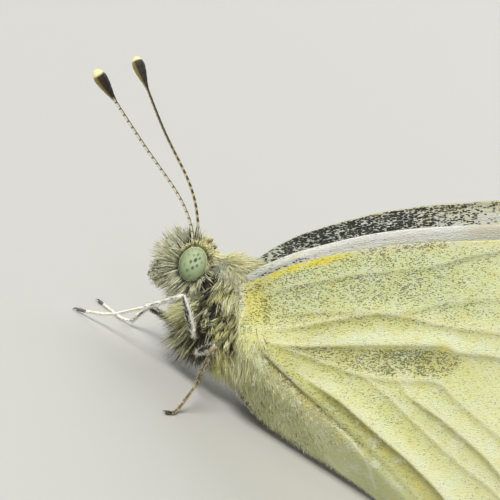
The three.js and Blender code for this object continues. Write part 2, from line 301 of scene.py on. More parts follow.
lens, graph = start_finish("eye_lens")
cells = graph.node("ShaderNodeTexVoronoi", {"feature": "DISTANCE_TO_EDGE"},
                   {"Vector": object_mm(graph), "Scale": 42.0, "Randomness": 0.25})
# The shade value is painted light and shade: dark green where it is 0, pale green where it is 1.
green = own_value(graph, "shade").mix((0.13, 0.21, 0.06, 1), (0.56, 0.66, 0.38, 1))
green = (noise(graph, 5.0).step(0.35, 0.7) * 0.35).mix(green, (0.4, 0.56, 0.38, 1))
spotted = (own_value(graph, "spot") * 0.9).mix(green, (0.02, 0.035, 0.02, 1))
end_finish(graph, Base_Color=spotted, Roughness=0.32, Coat_Weight=0.15, Coat_Roughness=0.2,
           bump=cells.step(0, 0.2), depth=0.004)
rim, graph = start_finish("eye_rim")
end_finish(graph, Base_Color=(0.66, 0.66, 0.42, 1), Roughness=0.6)

for label, side in SIDES:
    lift, turn = np.meshgrid(np.linspace(0, 1.55, EYE_ROWS), once_round(EYE_SIDES), indexing="ij")
    across, up = EYE_SHORT * np.cos(turn) * np.cos(lift), EYE_LONG * np.sin(turn) * np.cos(lift)
    x, z = turned(across, up)
    y = side * (EYE_FLAT + EYE_BULGE * np.sin(lift))
    dome = np.stack([x, y, EYE_Z + z], axis=-1).reshape(-1, 3)
    spots = sum(dark * (1 - ease(0.55 * size, 1.25 * size, np.hypot(across - along, 0.72 * (up - high))))
                for along, high, size, dark in EYE_SPOTS)
    # Painted light and shade on the eye: lighter towards its upper back, darker towards its lower front and
    # round its edge, and dimmed again towards the top front.
    eye_light_and_shade = ease(-1.0, 0.55, 0.75 * up + 0.9 * across) * (0.6 + 0.4 * ease(0.0, 0.3, lift))
    eye_light_and_shade = eye_light_and_shade * (1 - 0.36 * ease(0.1, 0.8, up - 0.5 * across))
    add_piece(
        f"eyeball_{label}", dome, tube_faces(EYE_ROWS, EYE_SIDES), lens, "eye",
        replaces=(f"eye_{label}",), spot=np.clip(spots, 0, 1).ravel(), shade=eye_light_and_shade.ravel(),
    )
    about, turn = np.meshgrid(once_round(RIM_SIDES), once_round(RIM_STEPS), indexing="ij")
    ring = 1.02 + 0.03 * np.cos(about)
    x, z = turned(EYE_SHORT * np.cos(turn) * ring, EYE_LONG * np.sin(turn) * ring)
    y = side * (EYE_FLAT + 0.04 + 0.03 * np.sin(about))
    hoop = np.stack([x, y, EYE_Z + z], axis=-1)
    hoop = np.concatenate([hoop, hoop[:1]])
    hoop_faces = grid_faces(RIM_SIDES + 1, RIM_STEPS, around=True)
    add_piece(f"eye_rim_{label}", hoop.reshape(-1, 3), [hoop_faces], rim, "eye")

# ---------------------------------------------------------------------------------------
# Palps and tongue
# Two upturned palps of dark chitin stand before the face. The tongue is a thin tube, wider
# than it is thick, coiled between them like a watch spring.
# ---------------------------------------------------------------------------------------

PALP_JOINTS = np.array([[-0.75, 0.5, 3.75], [-1.05, 0.54, 3.72], [-1.32, 0.52, 3.92], [-1.5, 0.46, 4.3]])
PALP_RADII = [0.16, 0.2, 0.19, 0.05]
TONGUE_CENTRE = np.array([-1.35, 0, 3.42])
TONGUE_TURNS = 2.6
TONGUE_RADIUS = 0.055


def tube(path, radii, sides=12, facing=(0, 1, 0), breadth=1.0):
    """A section carried along a path, round, or breadth times as wide towards facing as
    across it. Its radius comes from radii."""
    tangent = np.gradient(path, axis=0)
    tangent /= np.linalg.norm(tangent, axis=1, keepdims=True)
    across = np.cross(tangent, np.asarray(facing, float))
    across /= np.linalg.norm(across, axis=1, keepdims=True)
    other = np.cross(across, tangent)
    turn = once_round(sides)[None, :, None]
    ring = np.cos(turn) * across[:, None] + breadth * np.sin(turn) * other[:, None]
    return path[:, None] + np.asarray(radii)[:, None, None] * ring, ring


chitin, graph = start_finish("dark_chitin")
grain = noise(graph, 9.0, 4.0)
end_finish(
    graph, Base_Color=grain.step(0.3, 0.7).mix((0.02, 0.015, 0.01, 1), (0.1, 0.065, 0.035, 1)),
    Roughness=0.4, bump=grain, depth=0.01,
)

for label, side in SIDES:
    path = smooth_path(PALP_JOINTS * [1, side, 1], 40)
    radii = np.interp(np.linspace(0, 1, len(path)), [0, 0.3, 0.75, 1], PALP_RADII)
    wall, _ = tube(path, radii)
    add_piece(
        f"palp_core_{label}", wall.reshape(-1, 3), tube_faces(*wall.shape[:2]), chitin, "fur",
        replaces=(f"palp_{label}",),
    )

turn = np.linspace(0, TONGUE_TURNS * 2 * np.pi, 200)
reach = 0.07 + 0.3 * turn / turn[-1]
coil = TONGUE_CENTRE + np.stack([reach * np.cos(turn), 0 * turn, reach * np.sin(turn)], axis=1)
wall, _ = tube(coil, np.full(len(coil), TONGUE_RADIUS), breadth=1.8)
add_piece(
    "tongue", wall.reshape(-1, 3), tube_faces(*wall.shape[:2]), chitin, "proboscis",
    replaces=("proboscis",),
)

# ---------------------------------------------------------------------------------------
# Antennae
# Each is a chain of some thirty slim joints under dark, golden and white scales, and ends
# in a round club, dark above and olive beneath, with a bare cream tip.
# ---------------------------------------------------------------------------------------

ANTENNA_JOINTS = {
    "left": [(-0.4, -0.36, 5.6), (-0.98, -0.55, 6.6), (-2.3, -0.95, 7.75), (-5, -1.8, 9.25),
             (-8.3, -2.8, 11.2)],
    "right": [(-0.4, 0.36, 5.6), (-0.98, 0.55, 6.72), (-2.3, 0.95, 7.99), (-5, 1.8, 9.49),
              (-8.1, 2.85, 11.54)],
}
ANTENNA_SEGMENTS = 29
SHAFT_RADIUS = 0.066
CLUB_SIZE = 0.31


def tone(red, green, blue):
    """A colour given as three numbers up to 255, made linear."""
    value = np.array([red, green, blue]) / 255
    return np.where(value > 0.04045, ((value + 0.055) / 1.055) ** 2.4, value / 12.92)


def blend(start, end, amount):
    """Mixes two colours, or two whole arrays of them, by an array of amounts."""
    return start + (end - start) * np.asarray(amount)[..., None]


def along_path(path, share):
    """The points of a path at the given shares of its length."""
    even = np.linspace(0, 1, len(path))
    return np.stack([np.interp(share, even, path[:, k]) for k in range(path.shape[1])], axis=1)


def painted(name):
    """A finish that takes its colour from the piece's own paint, darkened a little and made
    rough by a fine grain."""
    material, graph = start_finish(name)
    grain = noise(graph, 12.0, 3.0)
    shade = (grain.step(0.55, 0.25) * 0.25).mix(own_value(graph, "paint", "Color"), (0.1, 0.09, 0.05, 1))
    end_finish(graph, Base_Color=shade, Roughness=0.6, bump=grain, depth=0.01)
    return material


scaled_chitin = painted("scaled_chitin")
for label, side in SIDES:
    s = np.concatenate([np.linspace(0, 0.84, 220), np.linspace(0.845, 1, 70)])
    path = along_path(smooth_path(ANTENNA_JOINTS[label], 400), s)
    place = s * ANTENNA_SEGMENTS % 1
    radii = SHAFT_RADIUS * (0.88 + 0.2 * np.sin(np.pi * place) ** 0.5) + 0.07 * ease(0.03, 0.012, s)
    radii = radii + (CLUB_SIZE - SHAFT_RADIUS) * ease(0.81, 0.955, s)
    radii = radii * np.sqrt(np.clip(1 - ((s - 0.95) / 0.0505).clip(0, 1) ** 2, 0, 1))
    wall, ring = tube(path, radii, sides=20)
    outward = ring @ np.array([-0.4, 0.7 * side, -0.3])
    forward = ring @ np.array([-0.6, 0, -0.8])
    joint = ease(0.74, 0.82, place) * ease(1.0, 0.95, place)
    spot = ease(0.1, 0.25, place) * ease(0.6, 0.45, place) * ease(0.6, 0.35, s)
    pale = (1 - joint)[:, None] * ease(0.05, 0.3, outward)
    gold = (1 - 0.8 * joint)[:, None] * ease(0.0, 0.3, forward) + spot[:, None] * ease(0.1, -0.3, outward)
    paint = blend(tone(46, 34, 20), tone(204, 188, 136), 0.9 * gold.clip(0, 1))
    paint = blend(paint, tone(240, 234, 206), pale.clip(0, 1))
    club = blend(tone(34, 27, 18), tone(150, 132, 62), ease(0.0, 0.5, forward))
    club = blend(club, tone(246, 236, 176), ease(0.968, 0.98, s)[:, None] + 0 * forward)
    paint = blend(paint, club, ease(0.82, 0.86, s)[:, None] + 0 * forward)
    add_piece(
        f"feeler_{label}", wall.reshape(-1, 3), tube_faces(*wall.shape[:2]), scaled_chitin, "antenna",
        replaces=(f"antenna_{label}",), paint=paint.reshape(-1, 3),
    )

# ---------------------------------------------------------------------------------------
# Legs and claws
# Each leg is a chain of jointed chitin tubes under white scales with dark stripes, and
# ends in five short foot joints and two split dark claws.
# ---------------------------------------------------------------------------------------

WHITE, TAN, BROWN, BLACK = tone(246, 246, 236), tone(190, 176, 134), tone(72, 56, 38), tone(22, 18, 13)
LEG_JOINTS = {
    "foreleg_left": [(1.9, -0.8, 2.0), (1.85, -1.68, 2.5), (0.5, -1.8, 3.92), (-0.88, -1.5, 2.22),
                     (-2.1, -1.12, 0.88), (-3.1, -1.12, 0.34), (-3.72, -1.13, 0.1)],
    "foreleg_right": [(1.75, 0.8, 1.9), (0.7, 0.95, 1.5), (-1.0, 1.2, 1.36), (-1.36, 1.02, 0.28),
                      (-1.9, 1.06, 0.11), (-2.7, 1.28, 0.09), (-3.3, 1.45, 0.09)],
    "midleg_left": [(2.4, -0.9, 1.6), (2.5, -1.6, 1.75), (3.03, -2.65, 2.92), (3.31, -4.0, 1.22),
                    (3.24, -4.9, 0.19), (3.15, -5.4, 0.1), (2.9, -5.8, 0.09)],
    "hindleg_left": [(4.2, -0.5, 1.9), (4.6, -0.62, 1.3), (5.6, -0.62, 0.62), (6.4, -0.55, 0.36),
                     (7.0, -0.5, 0.12), (7.5, -0.47, 0.1), (7.9, -0.46, 0.09)],
}
for name in ("midleg", "hindleg"):
    LEG_JOINTS[f"{name}_right"] = [(x, -y, z) for x, y, z in LEG_JOINTS[f"{name}_left"]]
# For hip, thigh, shin and foot: the pale scales, the dark stripe and its half breadth.
LEG_PAINT = {
    "foreleg": [(WHITE, TAN, 0.3), (WHITE, BLACK, 0.62), (WHITE, BLACK, 0.0), (WHITE, TAN, 0.2)],
    "midleg": [(WHITE, TAN, 0.3), (WHITE, BLACK, 0.8), (TAN, BROWN, 0.75), (TAN, BROWN, 0.5)],
    "hindleg": [(WHITE, TAN, 0.3), (WHITE, BROWN, 0.5), (WHITE, BROWN, 0.6), (TAN, BROWN, 0.5)],
}
THIGH = ([0, 0.06, 0.4, 0.9, 1], [0.06, 0.14, 0.17, 0.11, 0.06])
SHIN = ([0, 0.05, 0.5, 0.95, 1], [0.06, 0.105, 0.1, 0.115, 0.05])
FOOT = ([0, 0.12, 0.8, 0.95, 1], [0.05, 0.07, 0.085, 0.08, 0.045])
FOOT_SHARES = [0, 0.42, 0.62, 0.76, 0.87, 1]


def join(walls):
    """Puts several tubes of points together, with their faces numbered on."""
    points, faces, first = [], [], 0
    for wall in walls:
        rows, sides = wall.shape[:2]
        faces += tube_faces(rows, sides, first)
        points.append(wall.reshape(-1, 3))
        first += rows * sides
    caps = [face for face in faces if len(face) == 1]
    return np.concatenate(points), [np.concatenate([face for face in faces if len(face) > 1]),
                                    np.concatenate(caps)]


leg_roots = {}
speckle = np.random.default_rng(5)
for name, joints in LEG_JOINTS.items():
    kind, label = name.split("_")
    side = -1 if label == "left" else 1
    joints = np.array(joints)
    foot = smooth_path(joints[3:], 200)
    parts = [
        (np.linspace(joints[0], joints[1], 12), THIGH, 0),
        (np.linspace(joints[1], joints[2], 30), THIGH, 1),
        (np.linspace(joints[2], joints[3], 36), SHIN, 2),
    ]
    for start, end in zip(FOOT_SHARES[:-1], FOOT_SHARES[1:]):
        parts.append((along_path(foot, np.linspace(max(start - 0.01, 0), end, 16)), FOOT, 3))
    walls, paints, leg_roots[name] = [], [], []
    for path, (places, sizes), part in parts:
        s = np.linspace(0, 1, len(path))
        wall, ring = tube(path, np.interp(s, places, sizes), facing=(0.3, 1, 0.1))
        pale, dark, breadth = LEG_PAINT[kind][part]
        heading = path[-1] - path[0]
        outer = np.cross(np.cross(heading, (-0.35, 0.9 * side, 0.2)), heading)
        beside = np.cross(heading, outer)
        off = np.abs(ring @ (beside / np.linalg.norm(beside)) + 0.2)
        ragged = 0.1 * np.sin(23 * s)[:, None] + 0.16 * speckle.standard_normal(wall.shape[:2])
        stripe = ease(breadth + 0.12, breadth - 0.08, off + ragged)
        stripe = stripe * ease(0.0, 0.25, s)[:, None] * ease(1.0, 0.94, s)[:, None]
        last = 0.85 if part == 3 and len(walls) == 7 else 0
        walls.append(wall)
        paints.append(blend(blend(pale, dark, stripe), BLACK, last + 0 * stripe).reshape(-1, 3))
        leg_roots[name].append((wall, ring, path, paints[-1].reshape(wall.shape), part))
    points, faces = join(walls)
    add_piece(
        f"{name}_limb", points, faces, scaled_chitin, "leg", replaces=(name,), paint=np.concatenate(paints),
    )
    tip, heading = foot[-1], foot[-1] - foot[-12]
    heading = heading / np.linalg.norm(heading)
    sideways = np.cross(heading, (0, 0, 1))
    hooks = []
    for spread in (-0.8, -0.35, 0.35, 0.8):
        t = np.linspace(0, 1, 12)[:, None]
        arch = (0.22 * t * (1 - t) - 0.03 * t) * [0, 0, 1]
        hook = tip + 0.2 * t * heading + 0.16 * t * spread * sideways + arch
        hooks.append(tube(hook, np.linspace(0.028, 0.004, 12), sides=8, facing=(0.1, 0.2, 1))[0])
    points, faces = join(hooks)
    add_piece(f"{name}_claws", points, faces, chitin, "leg")

# ---------------------------------------------------------------------------------------
# Coat of the head
# Long pale bristles with black ones between them fan out from the face, the brow, the nape
# and both palps. Short ones edge the eyes.
# ---------------------------------------------------------------------------------------

chance = np.random.default_rng(11)
IVORY, STRAW, SMOKE, SOOT = tone(252, 252, 202), tone(238, 230, 134), tone(156, 156, 112), tone(24, 22, 12)
OLIVE, SLATE, CHALK = tone(180, 173, 74), tone(206, 214, 200), tone(247, 246, 204)
PEARL = tone(246, 246, 216)
# How far one hair reaches on the OFBake unwrap.
TUFT_PATCH = 0.003
# The hide's length and girth, about, and how finely places on it are sown with hair.
HIDE_LENGTH, HIDE_GIRTH = 19, 8
SOWN_ROWS, SOWN_SIDES = 420, 160


def hair_finish(name, roughness, streak):
    """Hair takes its colour from its own paint, with darker streaks, and shines a little
    along its edge."""
    material, graph = start_finish(name)
    strand = noise(graph, 14.0, 1.0)
    shade = (strand.step(0.5, 0.3) * streak).mix(own_value(graph, "paint", "Color"), (0.12, 0.1, 0.06, 1))
    end_finish(graph, Base_Color=shade, Roughness=roughness, bump=strand, depth=0.004,
               Sheen_Weight=0.2, Sheen_Roughness=0.5)
    return material


def scatter(count, weight):
    """Picks count places on the hide at random, closer together where weight, worked out
    from the points and normals, is greater. Returns u and v, the points and the normals."""
    u, v = (np.arange(SOWN_ROWS) + 0.5) / SOWN_ROWS, (np.arange(SOWN_SIDES) + 0.5) / SOWN_SIDES
    u, v = np.meshgrid(u, v, indexing="ij")
    along = skin_point(u + 0.001, v) - skin_point(u - 0.001, v)
    round_it = skin_point(u, v + 0.001) - skin_point(u, v - 0.001)
    share = np.linalg.norm(np.cross(along, round_it), axis=-1) * weight(skin_point(u, v), skin_normal(u, v))
    pick = chance.choice(share.size, count, p=(share / share.sum()).ravel())
    u = u.ravel()[pick] + chance.uniform(-0.5, 0.5, count) / SOWN_ROWS
    v = v.ravel()[pick] + chance.uniform(-0.5, 0.5, count) / SOWN_SIDES
    return np.stack([u, v], axis=1), skin_point(u, v), skin_normal(u, v)


def unit(vectors):
    """Vectors made one long."""
    return vectors / np.maximum(np.linalg.norm(vectors, axis=-1, keepdims=True), 1e-9)


def combed(normal, flow, lift):
    """The direction in which a hair leaves the hide: flow pressed flat onto the surface,
    then raised off it by lift, in degrees."""
    flat = unit(flow - np.einsum("ij,ij->i", flow, normal)[:, None] * normal)
    rise = np.radians(lift)[:, None]
    return np.cos(rise) * flat + np.sin(rise) * normal


def locks(uv, size):
    """Parts the coat into locks about size across, the cells of a brick pattern on the
    unwrap. Gives each hair three random numbers that its lock shares, and the way to the
    middle of its lock."""
    along, around = int(HIDE_LENGTH / size), int(HIDE_GIRTH / size)
    row = np.clip(np.floor(uv[:, 0] * along).astype(int), 0, along - 1)
    slide = chance.random(along)[row]
    column = np.floor(uv[:, 1] * around + slide)
    lock = row * (around + 2) + (column % around).astype(int)
    shared = chance.standard_normal((along * (around + 2), 3))[lock]
    middle = skin_point((row + 0.5) / along, (column + 0.5 - slide) / around)
    return shared, middle - skin_point(uv[:, 0], uv[:, 1])


def tied(own, lock, value):
    """A number from 0 to 1 for each hair: own is its own random part, and lock is the share
    that comes from its lock's random value, by an S curve."""
    return own + lock / (1 + np.exp(-1.7 * value))


def dyed(count, colours, shares, shared=None):
    """One colour for each hair, in the given shares, each a little lighter or darker. With
    shared, the hairs of one lock tend to be alike."""
    place = chance.random(count)
    if shared is not None:
        place = tied(0.45 * place, 0.55, shared[:, 1])
    pick = np.searchsorted(np.cumsum(shares)[:-1] / np.sum(shares), place)
    return np.array(colours)[pick] * chance.uniform(0.75, 1.08, (count, 1))


def mixed_in(share, colour, rest):
    """Gives each hair the new colour with the chance share; the rest keep theirs."""
    return np.where((chance.random(len(rest)) < share)[:, None], colour, rest)


def grow(name, slot, finish, roots, uv, lie, bend, length, width, colour, rings=4, root_shade=0.5):
    """Solid three-sided hairs. The middle of each is root + length (t lie) + t squared bend
    for t from 0 to 1, and it narrows from width near the root to a point. Its root is the
    colour times root_shade: painted shade, darkest where the hair leaves the hide."""
    count = len(roots)
    t = np.linspace(0, 1, rings + 1)
    length, width = (np.broadcast_to(value, count)[:, None, None] for value in (length, width))
    middle = roots[:, None] + length * t[:, None] * lie[:, None] + t[:, None] ** 2 * bend[:, None]
    heading = unit(length * lie[:, None] + 2 * t[:, None] * bend[:, None])
    first = unit(np.cross(heading, unit(chance.standard_normal((count, 3)))[:, None]))
    second = np.cross(heading, first)
    turn = once_round(3)[:, None]
    taper = np.interp(t[:rings], [0, 0.35, 1], [0.8, 1, 0.15])
    spread = 0.5 * width[..., None] * taper[:, None, None]
    section = np.cos(turn) * first[:, :rings, None] + 0.6 * np.sin(turn) * second[:, :rings, None]
    ring = middle[:, :rings, None] + spread * section
    points = np.concatenate([ring.reshape(count, -1, 3), middle[:, -1:]], axis=1)
    points[..., 2] = np.maximum(points[..., 2], 0.02 + 0.004 * (np.arange(points.shape[1]) % 4))
    start = np.arange(count)[:, None, None] * (3 * rings + 1)
    walls = grid_faces(rings, 3, around=True)
    ends = np.concatenate([3 * rings - 3 + np.array([[0, 1, 3], [1, 2, 3], [2, 0, 3]]), [[2, 1, 0]]])
    t_all = np.concatenate([np.repeat(t[:rings], 3), [1]])
    # Painted shade: each hair darkens from its tip down to its root, where the coat shades itself.
    shade = blend((colour * root_shade)[:, None], colour[:, None], np.minimum(t_all * 1.8, 1)[None])
    corner = np.concatenate([np.tile([-0.5, 0, 0.5], rings), [0]])
    patch = np.stack([t_all - 0.5, corner], axis=-1) * TUFT_PATCH
    faces = [(start + walls).reshape(-1, 4), (start + ends).reshape(-1, 3)]
    return add_piece(
        name, points.reshape(-1, 3), faces, finish, slot, paint=shade.reshape(-1, 3),
        OFBake=(uv[:, None] + patch).reshape(-1, 2),
    )


coarse_hair, silk_hair = hair_finish("coarse_hair", 0.55, 0.2), hair_finish("silky_hair", 0.5, 0.05)
FAN_CENTRE = np.array([0.3, 0, 4.85])


def off_the_eye(points, margin):
    """1 outside both eyes, grown by margin, and 0 within."""
    x, z = points[..., 0], points[..., 2] - EYE_Z
    cos, sin = np.cos(EYE_TILT), np.sin(EYE_TILT)
    across, up = (x * cos - z * sin) / (EYE_SHORT + margin), (x * sin + z * cos) / (EYE_LONG + margin)
    return np.where((np.hypot(across, up) > 1) | (np.abs(points[..., 1]) < 0.5), 1.0, 0.0)


def head_weight(points, normals):
    """Thick over the brow, face, cheeks and nape, thin round the antennae, none on the eyes."""
    antennae = np.hypot(points[..., 0] + 0.42, np.abs(points[..., 1]) - 0.42)
    crown = ease(0.55, 0.25, antennae) * ease(5.2, 5.5, points[..., 2])
    return off_the_eye(points, -0.03) * ease(0.9, 0.55, points[..., 0]) * (1 - 0.85 * crown)


count = 2400
uv, roots, normals = scatter(count, head_weight)
shared, gather = locks(uv, 0.3)
fan = unit((roots - FAN_CENTRE) * [1, 0.5, 1] + [0, 0, 0.05])
lie = unit(0.3 * normals + fan + 0.2 * shared + 0.1 * chance.standard_normal((count, 3)))
crown = ease(-0.3, 0.0, roots[:, 0]) * ease(5.3, 5.6, roots[:, 2])
reach = 0.84 - 0.4 * crown + 0.3 * ease(4.5, 3.9, roots[:, 2])
ahead = fan @ np.array([-0.9, 0, 0.44])
reach = reach + 0.26 * ease(0.55, 0.9, ahead) - 0.12 * ease(0.85, 0.98, fan[:, 2])
length = reach * chance.uniform(0.5, 1.15, count)
bend = 0.09 * chance.standard_normal((count, 3)) + 0.85 * gather + [0, 0, -0.04]
low = ease(5.2, 4.3, roots[:, 2])
white = dyed(count, [PEARL, CHALK, IVORY, SOOT], [0.52, 0.2, 0.08, 0.2], shared)
brow = dyed(count, [STRAW, IVORY, CHALK, SOOT], [0.22, 0.28, 0.2, 0.3], shared)
whiter = 0.25 + 0.75 * np.maximum(low, ease(0.4, 0.8, ahead))
colour = mixed_in(whiter, white, brow) * (0.85 + 0.03 * low)[:, None]
cream = dyed(count, [tone(226, 212, 160), IVORY, tone(244, 238, 184)], [0.35, 0.3, 0.35])
colour = mixed_in(crown, cream, colour)
width = chance.uniform(0.05, 0.105, count)
grow("head_hair", "fur", coarse_hair, roots, uv, lie, bend, length, width, colour,
     root_shade=(0.16 + 0.6 * crown)[:, None] * [1, 0.95, 0.6])

count = 1100
for label, side in SIDES:
    s, turn = chance.uniform(0, 1, count), chance.uniform(0, 2 * np.pi, count)
    path = smooth_path(PALP_JOINTS * [1, side, 1], 60)
    middle, heading = along_path(path, s), unit(along_path(np.gradient(path, axis=0), s))
    across = unit(np.cross(heading, [0, 1, 0]))
    out = np.cos(turn)[:, None] * across + np.sin(turn)[:, None] * [0, 1, 0]
    under = out @ np.array([-0.6, 0, -0.8])
    lie = unit(0.9 * out + 0.3 * heading + [-0.05, 0, -0.5] + 0.14 * chance.standard_normal((count, 3)))
    length = (0.22 + 0.34 * ease(-0.3, 0.8, under)) * chance.uniform(0.6, 1.15, count) * (1 - 0.6 * s**1.5)
    colour = dyed(count, [PEARL, CHALK, IVORY, SOOT], [0.5, 0.24, 0.1, 0.16]) * 0.92
    bend = 0.07 * chance.standard_normal((count, 3))
    grow(f"palp_hair_{label}", "fur", coarse_hair, middle + 0.12 * out, np.stack([s, turn / 6.3], axis=1),
         lie, bend, length, chance.uniform(0.04, 0.075, count), colour, root_shade=np.array([0.2, 0.19, 0.12]))

# Short hairs around each eye: pale and yellowish above, black behind and below.
count = 700
for label, side in SIDES:
    turn = chance.uniform(0, 2 * np.pi, count)
    ring = 1.06 + chance.uniform(0, 0.1, count)
    x, z = turned(EYE_SHORT * np.cos(turn) * ring, EYE_LONG * np.sin(turn) * ring)
    roots = np.stack([x, side * (EYE_FLAT - chance.uniform(0.02, 0.12, count)), EYE_Z + z], axis=1)
    lie = unit(np.stack([x, side * (0.35 + 0 * x), z], axis=1) + 0.2 * chance.standard_normal((count, 3)))
    behind = ease(0.25, 0.8, np.cos(turn) - 0.35 * np.sin(turn))
    pale = dyed(count, [IVORY, STRAW, SOOT], [0.4, 0.4, 0.2])
    dark = dyed(count, [SOOT, STRAW, IVORY], [0.6, 0.25, 0.15])
    colour = mixed_in(behind, dark, pale)
    bend = 0.05 * chance.standard_normal((count, 3))
    length = (0.34 - 0.14 * behind) * chance.uniform(0.6, 1.1, count)
    grow(f"eye_lashes_{label}", "fur", coarse_hair, roots, np.stack([turn / 6.3, ring - 1], axis=1), lie,
         bend, length, chance.uniform(0.035, 0.06, count), colour, rings=2)

# ---------------------------------------------------------------------------------------
# Coat of the thorax
# A soft cream mat is combed back over the shoulders, with grey tufts over the wing roots,
# olive and white tufts with black specks on the flanks and long silk on the breast.
# ---------------------------------------------------------------------------------------


def back_weight(points, normals):
    """The shoulders, from the collar to the waist."""
    return ease(0.35, 0.6, points[..., 0]) * ease(5.8, 5.2, points[..., 0]) * ease(0.35, 0.6, normals[..., 2])


count = 10500
uv, roots, normals = scatter(count, back_weight)
shared, gather = locks(uv, 0.34)
collar = ease(1.7, 0.9, roots[:, 0])
low = ease(6.15, 5.85, roots[:, 2] + 0.06 * shared[:, 2]) * ease(3.4, 2.6, roots[:, 0])
low = low * ease(0.85, 0.65, normals[:, 2])
flow = np.stack([1 + 0 * collar, 0.2 * roots[:, 1], -1.2 * low], axis=1) + 0.06 * shared
lie = combed(normals, flow, 26 + 24 * collar + 3 * shared[:, 0] + chance.uniform(-6, 8, count))
wing_side = ease(1.8, 2.4, roots[:, 0]) * ease(3.6, 3.0, roots[:, 0])
length = (1.14 - 0.12 * collar + 0.2 * wing_side - 0.55 * low) * chance.uniform(0.6, 1.1, count)
colour = dyed(count, [tone(254, 250, 192), tone(255, 254, 224), tone(242, 232, 168)], [0.5, 0.4, 0.1])
grey = dyed(count, [SLATE, CHALK, tone(160, 170, 168), SOOT], [0.38, 0.52, 0.07, 0.03], shared)
colour = mixed_in(low, grey, colour)
bend = 0.05 * chance.standard_normal((count, 3)) + 0.35 * gather + [0.12, 0, -0.14]
grow("back_hair", "fur", silk_hair, roots, uv, lie, bend, length, chance.uniform(0.03, 0.046, count), colour,
     rings=3, root_shade=0.95)


def flank_weight(points, normals):
    """The sides of the thorax, below the shoulders."""
    start = points[..., 0] - 0.25 * ease(3.8, 4.4, points[..., 2])
    return (ease(0.95, 1.2, start) * ease(6.0, 5.4, points[..., 0]) * ease(0.75, 0.5, normals[..., 2])
            * ease(-0.75, -0.5, normals[..., 2]))


for layer, count, width, reach in (("under", 4600, 0.045, 0.34), ("top", 6200, 0.062, 0.56)):
    uv, roots, normals = scatter(count, flank_weight)
    shared, gather = locks(uv, 0.32)
    high = ease(5.2, 5.5, roots[:, 2] + 0.15 * shared[:, 2])
    front = ease(2.2, 1.2, roots[:, 0])
    pepper = ease(1.9, 2.5, roots[:, 0]) * ease(4.7, 4.2, roots[:, 2]) * ease(2.3, 2.8, roots[:, 2])
    flow = np.stack([0.5 + 0.5 * high - 0.6 * front, 0 * high, -1 + 0 * high], axis=1)
    flow = flow + (0.35 + 0.6 * pepper)[:, None] * shared
    lift = 30 + 10 * shared[:, 1] + 16 * pepper - 12 * high + chance.uniform(-8, 10, count)
    lie = combed(normals, flow, lift)
    tuft = ease(4.2, 4.7, roots[:, 2]) * (1 - high)
    length = (reach - 0.1 * high - 0.14 * pepper + 0.24 * tuft) * (1 + 0.15 * shared[:, 2])
    length = length * chance.uniform(0.7, 1.1, count)
    if layer == "top":
        tufts = dyed(count, [OLIVE, STRAW, IVORY, SOOT], [0.08, 0.3, 0.54, 0.08], shared)
        grey = dyed(count, [SLATE, CHALK, SOOT], [0.5, 0.44, 0.06], shared)
        specks = dyed(count, [STRAW, IVORY, CHALK, SOOT], [0.26, 0.3, 0.34, 0.1])
    else:
        tufts = dyed(count, [SOOT, OLIVE, STRAW], [0.25, 0.4, 0.35])
        specks = dyed(count, [SOOT, OLIVE, STRAW, CHALK], [0.1, 0.2, 0.4, 0.3])
        grey = dyed(count, [SMOKE, SLATE, SOOT], [0.5, 0.35, 0.15])
    colour = mixed_in(high * ease(1.0, 1.4, roots[:, 0]), grey, tufts)
    colour = mixed_in(pepper, specks, colour)
    # Painted shadow behind the head and low on the front of the flank: there whole locks turn to dark hairs.
    shadow = ease(1.8, 1.4, roots[:, 0]) * ease(3.9, 4.4, roots[:, 2]) * ease(5.9, 5.4, roots[:, 2])
    shadow = np.maximum(shadow, 0.55 * ease(2.6, 2.2, roots[:, 0]) * ease(4.8, 4.4, roots[:, 2]))
    dusky = dyed(count, [SOOT, OLIVE, IVORY], [0.76, 0.12, 0.12])
    shaded = tied(0.25 * chance.random(count), 0.75, shared[:, 0]) < shadow
    colour = np.where(shaded[:, None], dusky, colour)
    bend = 0.06 * chance.standard_normal((count, 3)) + 0.9 * gather + [0.02, 0, -0.1]
    grow(f"flank_hair_{layer}", "fur", coarse_hair, roots, uv, lie, bend, length,
         width * chance.uniform(0.7, 1.15, count), colour,
         root_shade=(0.52 + 0.3 * high + 0.3 * pepper)[:, None])


def breast_weight(points, normals):
    """The front and the underside of the thorax, with the hips."""
    under = ease(-0.3, -0.6, normals[..., 2])
    chest = ease(-0.2, -0.6, normals[..., 0]) * ease(4.2, 3.6, points[..., 2])
    return np.clip(under + chest, 0, 1) * ease(0.9, 1.15, points[..., 0]) * ease(6.2, 5.6, points[..., 0])


count = 8000
uv, roots, normals = scatter(count, breast_weight)
shared, gather = locks(uv, 0.4)
front = ease(3.0, 1.4, roots[:, 0])
flow = np.stack([0.75 - 1.5 * front, 0.12 * roots[:, 1], -0.65 - 0.3 * front], axis=1)
lie = unit(flow + 0.3 * normals + 0.16 * shared + 0.1 * chance.standard_normal((count, 3)))
rear = ease(2.8, 4.2, roots[:, 0])
length = (1.2 + 0.6 * front + 0.15 * rear) * (1 + 0.12 * shared[:, 2]) * chance.uniform(0.5, 1.08, count)
colour = dyed(count, [tone(164, 162, 86), STRAW, IVORY, SOOT], [0.22, 0.24, 0.46, 0.08], shared)
# Towards the front the hairs turn grey and a little darker: partly their own grey and partly painted shade
# under the head.
grey = dyed(count, [SMOKE, IVORY, STRAW, SOOT], [0.2, 0.5, 0.14, 0.16], shared) * 0.9
colour = mixed_in(0.9 * front, grey, colour)
